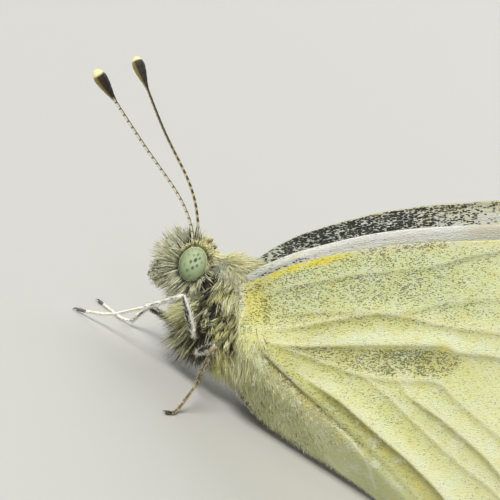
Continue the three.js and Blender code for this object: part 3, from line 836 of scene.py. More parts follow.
# Painted shadow between the hips of the fore and middle legs: whole locks there turn to dark hairs.
hip_shadow = 0.75 * ease(1.2, 1.6, roots[:, 0]) * ease(3.1, 2.6, roots[:, 0])
shaded = tied(0.3 * chance.random(count), 0.7, shared[:, 0]) < hip_shadow
colour = np.where(shaded[:, None], dyed(count, [SOOT, SMOKE], [0.75, 0.25]), colour)
pale = dyed(count, [IVORY, CHALK, STRAW, SOOT], [0.5, 0.24, 0.2, 0.06], shared)
# Towards the rear the hairs turn paler, and all of them are brightened a little as painted light where they
# are lit less.
colour = mixed_in(0.8 * rear, pale, colour) * (1 + 0.1 * rear)[:, None]
bright = front * ease(1.9, 1.5, roots[:, 0])
bend = 0.1 * chance.standard_normal((count, 3)) + gather + [0.12, 0, -0.1]
grow("breast_hair", "fur", silk_hair, roots, uv, lie, bend, length, chance.uniform(0.034, 0.06, count),
     colour * (1 + 0.1 * bright)[:, None], root_shade=(0.5 + 0.3 * bright)[:, None] * [1, 1, 0.95])

# ---------------------------------------------------------------------------------------
# Coat of the abdomen
# Short hairs lie flat along the rings, grey over the back and pale yellow-white on the
# sides and beneath.
# ---------------------------------------------------------------------------------------


def tail_weight(points, normals):
    """The whole abdomen, a little thicker at its tip."""
    return ease(5.4, 6.0, points[..., 0]) * (1 + ease(12, 14, points[..., 0]))


count = 9000
uv, roots, normals = scatter(count, tail_weight)
shared, gather = locks(uv, 0.22)
lie = combed(normals, np.array([[1.0, 0, -0.08]]) + 0.12 * shared, 9 + chance.uniform(-4, 10, count))
dark = ease(0.2, 0.8, normals[:, 2])
pale, grey = dyed(count, [IVORY, STRAW], [0.7, 0.3]), dyed(count, [SMOKE, SOOT, IVORY], [0.5, 0.1, 0.4])
colour = mixed_in(0.8 * dark, grey, pale)
grow("tail_hair", "fur", coarse_hair, roots, uv, lie, 0.3 * gather, chance.uniform(0.3, 0.5, count),
     chance.uniform(0.05, 0.08, count), colour, rings=2, root_shade=0.8)

# ---------------------------------------------------------------------------------------
# Hair of the legs
# Short bristles lie along each leg, shorter towards the foot. They take the colour of the
# scales beneath them, with pale ones between.
# ---------------------------------------------------------------------------------------

# For hip, thigh, shin and foot joint: how many hairs, and how long.
LEG_HAIR = [(60, 0.26), (420, 0.24), (340, 0.17), (40, 0.1)]
for name, parts in leg_roots.items():
    rows = []
    for wall, ring, path, paint, part in parts:
        count, reach = LEG_HAIR[part]
        i, j = chance.integers(1, len(path) - 1, count), chance.integers(0, wall.shape[1], count)
        heading = unit(np.gradient(path, axis=0))[i]
        lie = unit(0.8 * heading + 0.45 * ring[i, j] + 0.16 * chance.standard_normal((count, 3)))
        tint = paint[i, j] * chance.uniform(0.8, 1.1, (count, 1))
        tint = mixed_in(0.22, CHALK * 0.85, tint)
        place = np.stack([(part + i / len(path)) / 4, j / wall.shape[1]], axis=1)
        rows.append((wall[i, j] - 0.02 * ring[i, j], place, lie, np.full(count, reach), tint))
    roots, uv, lie, length, colour = (np.concatenate(column) for column in zip(*rows))
    count = len(roots)
    bend, length = 0.03 * chance.standard_normal((count, 3)), length * chance.uniform(0.6, 1.1, count)
    width = chance.uniform(0.026, 0.042, count)
    grow(f"{name}_hair", "leg", coarse_hair, roots, uv, lie, bend, length, width, colour, rings=2,
         root_shade=0.75)

# ---------------------------------------------------------------------------------------
# Hind wings
# Each is a thin double membrane pleated over stiff veins, covered in tiny scales: pale
# yellow beneath with dark dust, white above. They close over the back and under the tail.
# ---------------------------------------------------------------------------------------

HIND_FRONT = [(2.5, 5.95), (3.15, 6.75), (4.33, 8.45), (7.0, 11.15), (10.3, 13.65), (13.6, 15.75),
              (17.0, 16.75), (19.9, 15.9), (21.7, 13.4), (22.5, 11.0)]
HIND_REAR = [(4.0, 3.4), (4.7, 2.25), (5.85, 1.1), (7.3, 0.6), (9.2, 0.48), (12.5, 0.32), (14.4, 0.1),
             (16.6, 0.1), (18.6, 0.8), (20.6, 2.8), (22.0, 5.8), (22.6, 8.8), (22.65, 10.3)]
HIND_PLANE = 2.38
FORE_PLANE = 1.75
WING_ROOT = (3.3, 5.5)
WING_LEAN = np.tan(np.radians(1.2))
MEMBRANE = 0.1
# Vein name: its line from the root outwards, the height of its step and how dark the
# painted shade below it is, which also sets the painted light above it.
HIND_VEINS = {
    "subcosta": ([
        (3.6, 6.0), (4.6, 7.3), (6.6, 9.3), (9.7, 11.88), (10.5, 12.81), (11.72, 13.97), (13.2, 15.3),
    ], 0.03, 0.15),
    "radius": ([
        (4.4, 5.4), (6.5, 7.2), (9.46, 9.12), (10.79, 10.43), (12.87, 12.2), (16.0, 14.4), (18.6, 16.2),
    ], 0.03, 0.15),
    "cell_top": ([
        (4.57, 4.7), (5.95, 5.92), (7.32, 7.29), (8.74, 8.53), (9.99, 9.13), (11.73, 9.8), (13.77, 10.8),
        (17.5, 12.6), (21.2, 13.9),
    ], 0.036, 0.4),
    "mid_ridge": ([
        (4.7, 4.2), (6.43, 5.13), (8.75, 6.75), (11.06, 8.3), (12.11, 8.94), (12.76, 9.03), (14.39, 9.84),
        (18.0, 11.1), (22.2, 12.0),
    ], 0.055, 0.6),
    "cell_end": ([
        (12.11, 8.94), (12.6, 8.3), (12.66, 7.23),
    ], 0.02, 0.1),
    "cell_low": ([
        (4.79, 4.33), (6.63, 4.79), (8.34, 5.18), (9.52, 5.51), (11.22, 6.31), (12.66, 7.23),
        (13.79, 7.0), (14.69, 6.86), (18.5, 6.3), (22.3, 5.6),
    ], 0.04, 0.3),
    "cubitus_one": ([
        (11.22, 6.31), (11.9, 5.95), (13.71, 5.83), (16.13, 5.48), (17.47, 5.09), (21.6, 3.9),
    ], 0.08, 0.8),
    "cubitus_two": ([
        (9.52, 5.51), (10.98, 5.38), (11.92, 5.19), (13.21, 4.89), (15.69, 4.45), (18.11, 4.1),
        (20.6, 2.9),
    ], 0.04, 0.35),
    "anal_one": ([
        (7.4, 3.9), (9.11, 3.92), (10.2, 3.78), (11.85, 3.5), (13.8, 3.2), (16.18, 2.55), (19.0, 1.2),
    ], 0.14, 1.15),
    "anal_two": ([
        (5.3, 2.75), (8.19, 2.24), (9.76, 1.1), (11.5, 0.42),
    ], 0.03, 0.1),
}
HIND_FOLD = [(4.6, 3.9), (5.62, 3.66), (7.2, 3.33), (8.64, 3.12), (10.1, 2.9), (11.3, 2.68), (13.7, 2.12),
             (16.5, 1.2)]
LOBE_LINES = [
    [(7.2, 3.1), (8.2, 2.36), (9.76, 1.1), (11.5, 0.42)],
    [(9.8, 2.7), (11.16, 2.4), (12.15, 1.9), (13.3, 0.7)],
]
HUMERAL_FOLD = [(3.3, 6.7), (3.91, 6.0), (4.45, 5.19), (4.7, 4.59)]
# The dark dash in the middle of the wing lies between these two lines.
DASH_TOP = [(6.3, 5.0), (7.52, 5.74), (9.35, 6.79), (11.11, 7.98), (12.2, 8.62), (13.0, 8.75)]
DASH_LOW = [(6.5, 4.75), (7.35, 4.92), (8.36, 5.19), (9.3, 5.53), (10.61, 6.13), (12.03, 7.0), (12.92, 7.6),
            (13.4, 8.1)]


def from_line(x, z, corners):
    """How far each place is from a smooth line, positive on its upper side, and how far
    along the line, in millimetres, its nearest point is."""
    line = smooth_path(corners, 60)
    start, step = line[:-1], np.diff(line, axis=0)
    run = np.linalg.norm(step, axis=1)
    px, pz = x.ravel()[:, None] - start[:, 0], z.ravel()[:, None] - start[:, 1]
    t = np.clip((px * step[:, 0] + pz * step[:, 1]) / run**2, 0, 1)
    gap_x, gap_z = px - t * step[:, 0], pz - t * step[:, 1]
    gap = np.hypot(gap_x, gap_z)
    near = np.argmin(gap, axis=1)
    row = np.arange(len(near))
    above = np.where(step[near, 0] * pz[row, near] - step[near, 1] * px[row, near] >= 0, 1, -1)
    passed = np.concatenate([[0], np.cumsum(run)])[near] + t[row, near] * run[near]
    return (gap[row, near] * above).reshape(x.shape), passed.reshape(x.shape)


def from_root(x, z):
    """How far each place is from the wing's root."""
    return np.hypot(x - WING_ROOT[0], z - WING_ROOT[1])


def bell(value, breadth):
    """1 where value is 0, falling to both sides as a bell curve: e to the minus square of
    value over breadth."""
    return np.exp(-((value / breadth) ** 2))


def wing_plane(x, z, plane):
    """Distance of a wing's middle from the body's middle: upright planes that lean out a
    little towards the tips and draw in towards the root."""
    return plane + WING_LEAN * np.maximum(z - 6, 0) - 0.42 * (1 - ease(0, 3.2, from_root(x, z)))


def gutter(x, z):
    """How far the hind wing's lower strip turns in under the tail, below its fold."""
    fold = np.maximum(3.45 - 0.17 * (x - 5.5), 0.3)
    return 1.2 * ease(0, 1, (fold - z) / fold)


def wing_sheet(front, rear, rows, columns):
    """Places x, z of a wing: u runs from root to tip along both edges, v from the front
    edge to the rear."""
    first, last = smooth_path(front, rows), smooth_path(rear, rows)
    v = np.linspace(0, 1, columns)[None, :, None]
    return np.moveaxis(first[:, None] * (1 - v) + last[:, None] * v, -1, 0)


def wing_faces(rows, columns):
    """Faces of a closed wing: the outer sheet, the inner sheet and the rim between them."""
    outer = grid_faces(rows, columns)
    inner = outer[:, ::-1] + rows * columns
    top, side = np.arange(columns), np.arange(rows) * columns
    edge = np.concatenate([top, side[1:] + columns - 1, (rows - 1) * columns + top[-2::-1], side[-2:0:-1]])
    after = np.roll(edge, -1)
    rim_faces = np.stack([edge, edge + rows * columns, after + rows * columns, after], axis=1)
    return [np.concatenate([outer, inner, rim_faces])]


def hind_ground(x, z):
    """Colour and dust of the hind wing's open field: yellow-green near the root and paler
    outwards, with a bright yellow base and front edge and more dust above the cell."""
    root = from_root(x, z)
    colour = blend(tone(226, 224, 134), tone(236, 240, 166), ease(2, 8, root))
    colour = blend(colour, tone(249, 250, 202), ease(8, 18, root))
    cell_top, _ = from_line(x, z, HIND_VEINS["cell_top"][0])
    colour = blend(colour, tone(214, 224, 168), 0.8 * ease(0.0, 0.9, cell_top) * ease(15, 8, root))
    costa, run = from_line(x, z, HIND_FRONT)
    humeral, _ = from_line(x, z, HUMERAL_FOLD)
    basal = ease(0.7, -0.5, humeral) * ease(3.6, 5.6, z)
    colour = blend(colour, tone(236, 224, 92), 0.85 * basal)
    colour = blend(colour, tone(236, 234, 206), 0.8 * ease(2.9, 2.65, x + 0.6 * (z - 6)) * ease(4, 5, z))
    cream_edge = ease(0.7, 0.2, -costa) * ease(6.0, 8.0, run) * ease(16, 13, run)
    colour = blend(colour, tone(230, 226, 160), 0.7 * cream_edge)
    pale_edge = ease(0.35, 0.15, -costa) * ease(5.0, 6.5, run) * ease(11.0, 9.0, run)
    colour = blend(colour, tone(224, 220, 184), 0.8 * pale_edge)
    yellow_edge = ease(0.44, 0.2, -costa) * ease(1.1, 1.9, run) * ease(6.4, 4.2, run)
    colour = blend(colour, tone(238, 224, 66), yellow_edge)
    colour = blend(colour, tone(150, 146, 62), 0.25 * bell(humeral - 0.02, 0.14) * ease(6.9, 6.2, z))
    dust = 0.12 + 0.16 * ease(-0.8, 0.4, cell_top) * ease(16, 7.5, root) + 0.15 * ease(14, 6, root)
    dust = dust + 0.08 * bell(humeral - 0.1, 0.25) * ease(3.8, 5.2, z)
    dust = dust + 0.2 * basal * ease(4.6, 5.4, z)
    dust = dust * (0.4 + 0.6 * ease(0.06, 0.4, -costa)) + 0.3 * pale_edge
    return colour, dust * (0.5 + 0.5 * ease(0.0, 1.0, root))


def hind_dash(x, z, colour, dust):
    """Adds the long dusky dash between its two lines, thickest at its outer end."""
    top, _ = from_line(x, z, DASH_TOP)
    low, _ = from_line(x, z, DASH_LOW)
    end = ease(13.15, 12.85, x + 0.12 * (8 - z))
    dash = ease(0.12, -0.05, top) * ease(-0.15, 0.2, low) * ease(5.2, 6.8, x) * end
    dash = dash * (0.62 + 0.34 * ease(8.0, 12.4, x) + 0.1 * np.sin(2.4 * x + 1.2) * np.sin(3.1 * z))
    colour = blend(colour, tone(172, 170, 110), (0.6 * dash * ease(-1.5, -0.2, top)).clip(0, 0.5))
    return colour, dust + 0.5 * dash


def hind_lobe(x, z, colour, dust):
    """Adds the fold: a painted dark shadow line in its crease with a painted highlight on its
    upper lip, an ochre band just under it that is partly dust and partly painted shade, and
    olive above, and makes the lobe below it pale and clear of dust."""
    fold, _ = from_line(x, z, HIND_FOLD)
    anal = ease(0.05, -0.25, fold) * ease(4.2, 5.2, x)
    pale_lobe = blend(tone(208, 212, 170) + 0 * colour, tone(196, 204, 156), ease(8, 13, x))
    colour = blend(colour, pale_lobe, 0.92 * anal * ease(19, 12, x))
    # Just under the fold: ochre, partly dust and partly painted shade.
    ochre = ease(0.02, -0.12, fold) * np.exp(fold.clip(-3, 0) / 0.5) * ease(5.0, 6.0, x) * ease(15, 8, x)
    colour = blend(colour, tone(140, 124, 44), (1.1 * ochre).clip(0, 0.9))
    dust = dust * (1 - 0.8 * anal) + 0.5 * ochre
    # Painted shadow in the fold's crease, then a painted highlight just above it.
    crease = bell(fold + 0.02, 0.07) * ease(4.8, 5.6, x) * ease(9.5, 7.0, x)
    colour = blend(colour, tone(74, 62, 26), 0.8 * crease)
    colour = blend(colour, tone(250, 250, 228), 0.7 * bell(fold - 0.12, 0.06) * ease(8.6, 7.6, x))
    olive = ease(0.15, 0.5, fold) * ease(1.1, 0.5, fold) * ease(6, 10, x)
    return blend(colour, tone(176, 166, 74), 0.45 * olive), dust


def hind_ridges(x, z, colour, dust):
    """Adds each vein: a pale line on its crest, partly the vein's own colour and partly a
    painted highlight, a band of painted light above it, and an ochre band of painted shade
    below it that fades as e to the minus distance."""
    for corners, _, depth in HIND_VEINS.values():
        line, run = from_line(x, z, corners)
        # Painted shade below each vein and painted light on the slope above it; depth sets both.
        valley_shade = ease(0.04, -0.08, line) * np.exp(line.clip(-4, 0) / 0.6) * ease(0.0, 2.5, run)
        colour = blend(colour, tone(140, 134, 40), (0.88 * depth * valley_shade).clip(0, 0.85))
        lit_side = depth * ease(1.0, 0.2, line) * ease(0.0, 0.12, line)
        colour = blend(colour, tone(240, 243, 206), (0.5 * lit_side).clip(0, 0.6))
        dust = dust * (1 - (0.6 * lit_side).clip(0, 0.7))
        # The crest: the vein's own pale line with a painted highlight on it.
        bright = bell(line - 0.06, 0.1)
        colour = blend(colour, tone(246, 244, 200), 0.65 * bright * ease(0.1, 0.4, depth))
        dust = dust * (1 - 0.4 * bright)
    # A band of painted light just above the middle ridge, with less dust there.
    middle, _ = from_line(x, z, HIND_VEINS["mid_ridge"][0])
    stretch = ease(6, 9, x) * ease(14, 12, x)
    colour = blend(colour, tone(246, 252, 208), 0.7 * bell(middle - 0.35, 0.3) * stretch)
    dust = dust * (1 - 0.6 * bell(middle - 0.35, 0.35) * stretch)
    colour = blend(colour, tone(240, 228, 120), 0.7 * bell(x - 12.05, 0.25) * bell(z - 8.82, 0.17))
    for corners in LOBE_LINES:
        line, _ = from_line(x, z, corners)
        colour = blend(colour, tone(226, 228, 196), 0.75 * bell(line, 0.06))
    subcosta, _ = from_line(x, z, HIND_VEINS["subcosta"][0])
    colour = blend(colour, tone(110, 106, 80), 0.5 * bell(subcosta + 0.02, 0.06) * ease(9.2, 9.8, x))
    return colour, dust


def hind_under_paint(x, z):
    """Colour and dust of the hind wing's underside: its field, then the dash, the fold and
    the veins laid over it."""
    colour, dust = hind_ground(x, z)
    for mark in (hind_dash, hind_lobe, hind_ridges):
        colour, dust = mark(x, z, colour, dust)
    return colour, dust.clip(0, 0.95)


def hind_upper_paint(x, z):
    """Colour and dust of the hind wing's upper side: white, yellow-grey and dusted near the
    root, with a dark spot at the middle of its front edge."""
    root = from_root(x, z)
    colour = blend(tone(214, 214, 190), tone(238, 240, 226), ease(2, 8, root))
    costa, run = from_line(x, z, HIND_FRONT)
    spot = np.exp(-((((run - 13.8) / 1.0) ** 2 + ((costa + 1.0) / 0.8) ** 2) ** 2))
    colour = blend(colour, tone(60, 58, 54), 0.85 * spot)
    return colour, (0.45 * ease(6, 2, root) + 0.5 * spot).clip(0, 0.9)


def pleats(x, z, veins):
    """Height of the membrane over its plane. It rises gently to each vein from above,
    steps down just below it and comes up again slowly, like a pleated fan."""
    height = 0 * x
    for corners, step, _ in veins.values():
        line, run = from_line(x, z, corners)
        above = bell(line, 0.55)
        below = 1.5 * bell(line, 0.16) - 0.5 * bell(line, 0.8)
        height = height + step * np.where(line > 0, above, below) * ease(0, 1.5, run)
    return height


def cells_of(graph, place, fineness, scatter):
    """A pattern of cells, fineness of them to one unit of place: the random colour of each
    cell, and the distance from its centre."""
    made = graph.node("ShaderNodeTexVoronoi", {"feature": "F1"},
                      {"Vector": place, "Scale": fineness, "Randomness": scatter}, "Color")
    return made, Signal(graph.tree, made.socket.node.outputs["Distance"])


def channel(colour, name):
    """One channel of a colour."""
    return colour.node("ShaderNodeSeparateColor", {}, {"Color": colour}, name)


def scale_finish(name, fineness, black, strength):
    """Rows of overlapping scales: a fine cell pattern for the pale ones, and dark ones
    scattered among them, black in tone, wherever the piece's dust is thick."""
    material, graph = start_finish(name)
    paint, dust = own_value(graph, "paint", "Color"), own_value(graph, "dust")
    grid = own_value(graph, "scale_place", "Vector")
    warp = graph.node("ShaderNodeTexNoise", {}, {"Vector": grid, "Scale": 5.0, "Detail": 2.0}, "Color")
    bent = graph.node("ShaderNodeMix", {"data_type": "VECTOR"}, {0: 0.1, 4: grid, 5: warp}, 1)
    speck, centre = cells_of(graph, bent, fineness, 1.0)
    thick = dust * (noise(graph, 1.3, 3.0).step(0.3, 0.7) * 0.4 + 0.8)
    dark = (thick - channel(speck, "Red")).step(-0.02, 0.04) * (centre - thick * 0.25).step(0.52, 0.36)
    dark = dark * (thick.step(0.1, 0.45) * 0.4 + 0.6)
    ink = channel(speck, "Green").mix((*black, 1), (*(black * 1.8 + 0.012), 1))
    tile, _ = cells_of(graph, grid, 11.0, 1.0)
    _, rows = cells_of(graph, grid, 20.0, 0.8)
    lean = noise(graph, 1.4, 6.0) + channel(tile, "Red") * 0.26
    light = channel(paint, "Green").step(0.1, 0.4)
    pale = (light * lean.step(0.62, 0.9) * 0.4).mix(paint, (0.8, 0.86, 0.76, 1))
    pale = (light * lean.step(0.58, 0.36) * 0.42).mix(pale, (0.78, 0.66, 0.16, 1))
    pale = (rows.step(0.2, 0.75) * 0.2).mix(pale, (0.4, 0.39, 0.2, 1))
    dusted = (dark * strength).mix(pale, ink)
    end_finish(graph, Base_Color=dusted, Roughness=0.62, Sheen_Weight=0.1, Sheen_Roughness=0.4,
               bump=rows * 0.7 + dark * 0.3, depth=0.04)
    return material


def add_wing(name, side, sheet, plane, lift, paints, finish, stretch, node, slot):
    """Builds one wing: the outer face is the underside, as the wings are closed. paints
    holds the colour and the dust of the underside, then of the upper side; stretch below 1
    draws the dark scales out along the wing."""
    x, z = sheet
    faces = wing_faces(*x.shape)
    outer, inner = (
        np.stack([x, side * (plane(x, z) + lift + half), z], axis=-1).reshape(-1, 3)
        for half in (MEMBRANE / 2, -MEMBRANE / 2)
    )
    along, over = x * 0.77 + z * 0.64, z * 0.77 - x * 0.64
    place = np.stack([along * stretch, over, 0 * x + side], axis=-1).reshape(-1, 3)
    return add_piece(
        name, np.concatenate([outer, inner]), faces, finish, slot, replaces=(node,),
        paint=np.concatenate([paints[0][0].reshape(-1, 3), paints[1][0].reshape(-1, 3)]),
        dust=np.concatenate([paints[0][1].ravel(), paints[1][1].ravel()]),
        scale_place=np.concatenate([place, place + [0, 0, 5]]),
    )


hind_scales = scale_finish("hindwing_scales", 24.0, tone(74, 74, 32), 0.85)
hind_sheet = wing_sheet(HIND_FRONT, HIND_REAR, 230, 170)
hind_lift = pleats(*hind_sheet, HIND_VEINS)
fold_line, _ = from_line(*hind_sheet, HIND_FOLD)
hind_lift = hind_lift - 0.16 * bell(fold_line + 0.12, 0.22) * ease(4.4, 5.4, hind_sheet[0])
hind_paints = [hind_under_paint(*hind_sheet), hind_upper_paint(*hind_sheet)]


def hind_middle(x, z):
    """The hind wing's own plane, with its lower strip turned in."""
    return wing_plane(x, z, HIND_PLANE) - gutter(x, z)


for label, side in SIDES:
    add_wing(
        f"hindwing_scaled_{label}", side, hind_sheet, hind_middle, hind_lift, hind_paints, hind_scales, 0.55,
        f"hindwing_{label}", "hindwing",
    )

# Fine hairs on the wing's root and lower field, lying outwards from the root.
count = 4400
rows, columns = hind_sheet[0].shape
x, z = hind_sheet
root = np.hypot(x - 3.5, z - 4.6)
base, _ = from_line(x, z, [(2.6, 6.0), (4.0, 3.4)])
vein, _ = from_line(x, z, HIND_VEINS["anal_two"][0])
weight = ease(0.1, -0.4, fold_line) * ease(9.0, 4.0, root) * (0.25 + 0.75 * ease(0.3, -0.1, vein))
weight = weight + 0.9 * ease(1.8, 1.0, root) * ease(4.9, 4.3, z)
weight = weight + (0.6 - 0.3 * ease(4.8, 5.4, z)) * ease(0.28, 0.1, np.abs(base))
(x_down, x_over), (z_down, z_over) = np.gradient(x), np.gradient(z)
weight = weight * np.abs(x_down * z_over - x_over * z_down)
for label, side in SIDES:
    pick = chance.choice(weight.size, count, p=weight.ravel() / weight.sum())
    roots = np.stack([x, side * (hind_middle(x, z) + hind_lift), z], axis=-1).reshape(-1, 3)
    shift = chance.uniform(-0.06, 0.06, (2, count))
    roots = roots[pick] + np.stack([shift[0], 0 * pick, shift[1]], axis=1)
    out = unit(np.stack([roots[:, 0] - 2.9, 0 * pick, roots[:, 2] - 5.6], axis=1))
    wave = np.sin(roots[:, 0] * 2.3 + 1.4 * np.sin(roots[:, 2] * 1.7))
    sway = wave[:, None] * [0.16, 0, 0.1] + 0.16 * chance.standard_normal((count, 3))
    out = unit(out + [0, 0.2 * side, 0] + sway)
    near = ease(5, 1.2, root.ravel()[pick]) - 0.4 * ease(4.8, 5.4, roots[:, 2])
    uv = np.stack([pick // columns / rows, pick % columns / columns], axis=1)
    colour = dyed(count, [tone(244, 246, 192), tone(226, 224, 150), tone(252, 252, 218), tone(110, 108, 60)],
                  [0.42, 0.28, 0.25, 0.05])
    bend = 0.06 * chance.standard_normal((count, 3)) + [0, -0.07 * side, -0.03]
    length = (0.36 + 0.5 * near) * chance.uniform(0.5, 1.1, count)
    grow(f"wing_root_hair_{label}", "hindwing", silk_hair, roots, uv, out, bend, length,
         chance.uniform(0.034, 0.058, count), colour, rings=3, root_shade=0.86)


def fringe(name, side, sheet, plane, count, skip_front, slot):
    """Short hairs pointing outwards along a wing's margin, longest below the tail.
    skip_front leaves the stiff front edge bare."""
    x, z = (np.concatenate([value[:, 0], value[-1], value[::-1, -1], value[0, ::-1]]) for value in sheet)
    run = np.concatenate([[0], np.cumsum(np.hypot(np.diff(x), np.diff(z)))])
    front = run[sheet.shape[1] - 1]
    at = np.sort(chance.uniform(front if skip_front else 0, run[-1], count))
    edge = np.stack([np.interp(at, run, x), np.interp(at, run, z)], axis=1)
    ahead = np.stack([np.interp(at + 0.1, run, x), np.interp(at + 0.1, run, z)], axis=1) - edge
    out = unit(np.stack([-ahead[:, 1], 0 * at, ahead[:, 0]], axis=1))
    roots = np.stack([edge[:, 0], side * plane(*edge.T), edge[:, 1]], axis=1) - 0.06 * out
    roots[:, 1] += chance.uniform(-0.04, 0.04, count)
    low = 0 * at if skip_front else ease(3.6, 1.4, edge[:, 1]) * ease(15, 6, edge[:, 0])
    lie = unit(out * (1 - 0.35 * low)[:, None] + [0.35, 0, 0] + 0.2 * chance.standard_normal((count, 3)))
    colour = dyed(count, [IVORY, tone(214, 216, 170)], [0.6, 0.4])
    size = np.where(at < front, 0.55, 1)
    length = (0.15 + 0.3 * low) * size * chance.uniform(0.5, 1.1, count)
    width = size * chance.uniform(0.025, 0.045, count)
    grow(name, slot, silk_hair, roots, np.stack([at / run[-1], 0 * at], axis=1), lie, np.zeros((count, 3)),
         length, width, colour, rings=2, root_shade=0.8)


for label, side in SIDES:
    fringe(f"hindwing_fringe_{label}", side, hind_sheet, hind_middle, 5000, False, "hindwing")

# ---------------------------------------------------------------------------------------
# Fore wings
# They stand between the hind wings, so that only the front strip shows outside. White above
# with a dusted root and a dark tip, white beneath with a yellow tip.
# ---------------------------------------------------------------------------------------

FORE_FRONT = [(2.5, 6.25), (3.2, 7.6), (4.4, 9.2), (7.1, 11.95), (11.1, 14.95), (16.2, 18.35), (20.0, 20.75),
              (21.6, 21.35), (22.25, 21.05)]
FORE_REAR = [(3.3, 5.75), (6.2, 5.65), (10.8, 6.0), (16.2, 6.3), (19.6, 6.75), (21.1, 10.2), (22.1, 15.6),
             (22.5, 19.2), (22.45, 20.5)]
# All of its veins stand up alike.
FORE_VEINS = {name: (corners, 0.03, 0.2) for name, corners in {
    "costa": [(2.7, 6.3), (3.4, 7.5), (4.6, 9.1), (7.2, 11.75), (11.2, 14.75), (16.3, 18.1), (20.0, 20.5)],
    "subcosta": [(3.1, 6.3), (5.0, 8.9), (8.0, 12.0), (12.6, 15.4)],
    "radius": [(3.3, 6.1), (5.6, 8.9), (9.0, 12.2), (13.2, 15.2), (17.2, 18.0), (21.4, 20.9)],
    "median_one": [(13.2, 15.2), (13.6, 14.2), (17.5, 16.3), (22.2, 18.4)],
    "median_two": [(13.6, 14.2), (13.7, 13.2), (17.8, 14.4), (22.1, 15.6)],
    "median_three": [(13.7, 13.2), (13.2, 12.2), (17.5, 12.4), (21.7, 12.8)],
    "cubitus": [(3.5, 5.9), (7.5, 8.4), (11.3, 10.9), (13.2, 12.2)],
    "cubitus_one": [(11.3, 10.9), (16.5, 10.3), (21.2, 10.4)],
    "cubitus_two": [(8.9, 9.3), (14.5, 8.3), (20.2, 8.3)],
    "anal": [(3.5, 5.8), (8.0, 6.6), (14.0, 6.9), (19.4, 7.1)],
}.items()}
# The middles of the two dark spots.
FORE_SPOTS = [(17.2, 13.6), (16.4, 8.9)]


def fore_spots(x, z):
    """1 in the middle of the two soft round spots and 0 outside them."""
    return sum(np.exp(-((((x - along) / 0.95) ** 2 + ((z - high) / 0.85) ** 2) ** 1.6))
               for along, high in FORE_SPOTS)


def fore_under_paint(x, z):
    """Colour and dust of the fore wing's underside: grey-white along the front edge,
    white in the middle, pale yellow at the tip, with two soft dark spots."""
    root = from_root(x, z)
    colour = tone(238, 240, 226) + 0 * x[..., None]
    costa, _ = from_line(x, z, FORE_FRONT)
    colour = blend(colour, tone(238, 237, 236), ease(0.9, 0.3, -costa) * ease(16, 12, root))
    colour = blend(colour, tone(212, 206, 188), 0.8 * ease(0.9, 0.3, -costa) * ease(10, 11.5, root))
    tip = ease(17.5, 20, root) * ease(13.0, 15.5, z)
    colour = blend(colour, tone(226, 222, 140), 0.85 * tip)
    colour = blend(colour, tone(252, 253, 244), ease(6.0, 3.0, root))
    dust = 0.06 * ease(0.75, 0.45, -costa) * ease(9.5, 5.5, root)
    dust = dust + 0.4 * ease(0.22, 0.4, -costa) * ease(5.0, 2.4, root)
    spots = fore_spots(x, z)
    return blend(colour, tone(88, 88, 80), 0.7 * spots), (dust + 0.4 * spots).clip(0, 0.9)


def fore_upper_paint(x, z):
    """Colour and dust of the fore wing's upper side: white, thick black dust at the root,
    a dark grey tip and two black spots."""
    root = from_root(x, z)
    colour = blend(tone(206, 212, 196), tone(236, 238, 228), ease(2, 9, root))
    costa, _ = from_line(x, z, FORE_FRONT)
    colour = blend(colour, tone(222, 218, 176), ease(0.1, 0.04, -costa) * ease(3.0, 5.0, root))
    grey_edge = ease(0.9, 0.2, -costa) * ease(7.0, 10.0, root) * ease(14.5, 12.5, root)
    colour = blend(colour, tone(200, 196, 150), 0.7 * grey_edge)
    tip = ease(19.0, 21.0, root + 0.5 * np.sin(z * 2.2)) * ease(14.5, 16.5, z)
    colour = blend(colour, tone(58, 56, 54), 0.92 * tip)
    dust = (0.66 + 0.25 * ease(0.3, 2.5, root)) * ease(14.5, 7.0, root + 0.6 * ease(0, 3, -costa))
    dust = dust * ease(0.0, 0.05, -costa) + 0.16 * grey_edge + 0.3 * tip
    spots = fore_spots(x, z)
    return blend(colour, tone(46, 44, 42), 0.92 * spots), (dust + 0.3 * spots).clip(0, 0.95)


def fore_middle(x, z):
    """The fore wing's own plane."""
    return wing_plane(x, z, FORE_PLANE)


FORE_RAISE, FORE_SLIDE = np.radians(1), 0.13
fore_scales = scale_finish("forewing_scales", 18.5, tone(20, 19, 14), 0.97)
fore_sheet = wing_sheet(FORE_FRONT, FORE_REAR, 210, 120)
fore_lift = pleats(*fore_sheet, FORE_VEINS)
fore_paints = [fore_under_paint(*fore_sheet), fore_upper_paint(*fore_sheet)]
for label, side, raised, slide in (("left", -1, 0, 0), ("right", 1, FORE_RAISE, FORE_SLIDE)):
    x, z = fore_sheet[0] - WING_ROOT[0], fore_sheet[1] - WING_ROOT[1]
    held = np.stack([x * np.cos(raised) - z * np.sin(raised) + WING_ROOT[0] - slide,
                     x * np.sin(raised) + z * np.cos(raised) + WING_ROOT[1] + slide])
    add_wing(
        f"forewing_scaled_{label}", side, held, fore_middle, fore_lift, fore_paints, fore_scales, 0.4,
        f"forewing_{label}", "forewing",
    )
    fringe(f"forewing_fringe_{label}", side, held, fore_middle, 3000, True, "forewing")

# ---------------------------------------------------------------------------------------
# Floor, light and camera
# A plain pale dish, flat in the middle and curved up all round, under large soft lights.
# The camera stands low at the animal's left.
# ---------------------------------------------------------------------------------------

scene = bpy.context.scene
scene.view_settings.view_transform = "Standard"
scene.view_settings.look = "None"

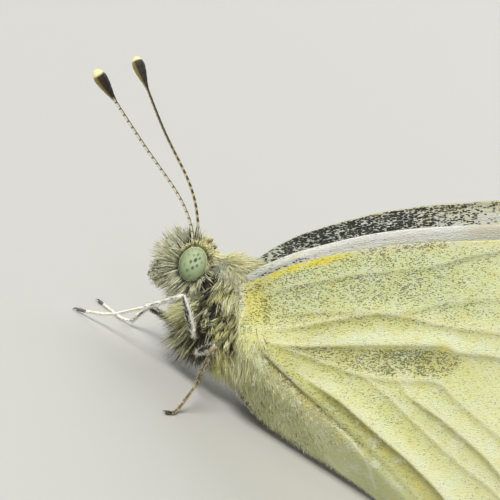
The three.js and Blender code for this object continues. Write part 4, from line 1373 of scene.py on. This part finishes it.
paper, graph = start_finish("pale_floor")
end_finish(graph, Base_Color=(0.54, 0.535, 0.51, 1), Roughness=0.9)
DISH_RADIUS, FLAT_RADIUS = 700, 130
DISH_ROWS, DISH_SIDES = 60, 96
reach = np.linspace(0.001, 1, DISH_ROWS) * DISH_RADIUS
reach, turn = np.meshgrid(reach, once_round(DISH_SIDES), indexing="ij")
rise = 0.42 * np.maximum(reach - FLAT_RADIUS, 0) ** 2 / (reach + FLAT_RADIUS)
dish = np.stack([reach * np.cos(turn), reach * np.sin(turn), rise], axis=-1).reshape(-1, 3)
dish_faces = grid_faces(DISH_ROWS, DISH_SIDES, around=True).tolist() + [list(range(DISH_SIDES))[::-1]]
mesh = bpy.data.meshes.new("floor")
mesh.from_pydata((dish * MM).tolist(), [], dish_faces)
mesh.polygons.foreach_set("use_smooth", np.full(len(mesh.polygons), True))
mesh.materials.append(paper)
floor = bpy.data.objects.new("floor", mesh)
scene.collection.objects.link(floor)


def aim(thing, place, target):
    """Places a light or camera, in millimetres, and turns its -Z axis to a point."""
    place, target = Vector(in_metres(place)), Vector(in_metres(target))
    thing.location = place
    thing.rotation_euler = (target - place).to_track_quat("-Z", "Y").to_euler()


for label, place, breadth, power, colour in (
    ("key", (-75, -75, 150), 28, 2.75, (1, 0.98, 0.94)),
    ("front", (-130, -50, 15), 60, 0.35, (1, 1, 1)),
    ("fill", (40, -150, 15), 60, 0.9, (0.97, 0.98, 1)),
    ("back", (20, 120, 120), 50, 1.3, (1, 1, 1)),
):
    lamp = bpy.data.lights.new(label, "SUN")
    lamp.angle, lamp.energy, lamp.color = np.radians(breadth), power, colour
    lamp_object = bpy.data.objects.new(label, lamp)
    scene.collection.objects.link(lamp_object)
    aim(lamp_object, place, (0, 0, 0))

scene.world = bpy.data.worlds.new("studio")
scene.world.use_nodes = True
scene.world.node_tree.nodes["Background"].inputs["Color"].default_value = (0.9, 0.95, 1, 1)
scene.world.node_tree.nodes["Background"].inputs["Strength"].default_value = 0.25

# The camera's own right, up and backward directions: it is rolled by 31.5 degrees.
CAMERA_PLACE = (5.345, -64.492, 25.588)
CAMERA_RIGHT = (0.84393, 0.18845, 0.50226)
CAMERA_UP = (-0.53408, 0.20735, 0.81961)
CAMERA_BACK = (0.05031, -0.95994, 0.27564)
lens_mount = bpy.data.cameras.new("camera")
lens_mount.lens, lens_mount.sensor_width = 100, 36
lens_mount.clip_start, lens_mount.clip_end = 0.001, 10
camera = bpy.data.objects.new("camera", lens_mount)
scene.collection.objects.link(camera)
turned_to = Matrix((CAMERA_RIGHT, CAMERA_UP, CAMERA_BACK)).transposed().to_4x4()
camera.matrix_world = Matrix.Translation(Vector(in_metres(CAMERA_PLACE))) @ turned_to
scene.camera = camera
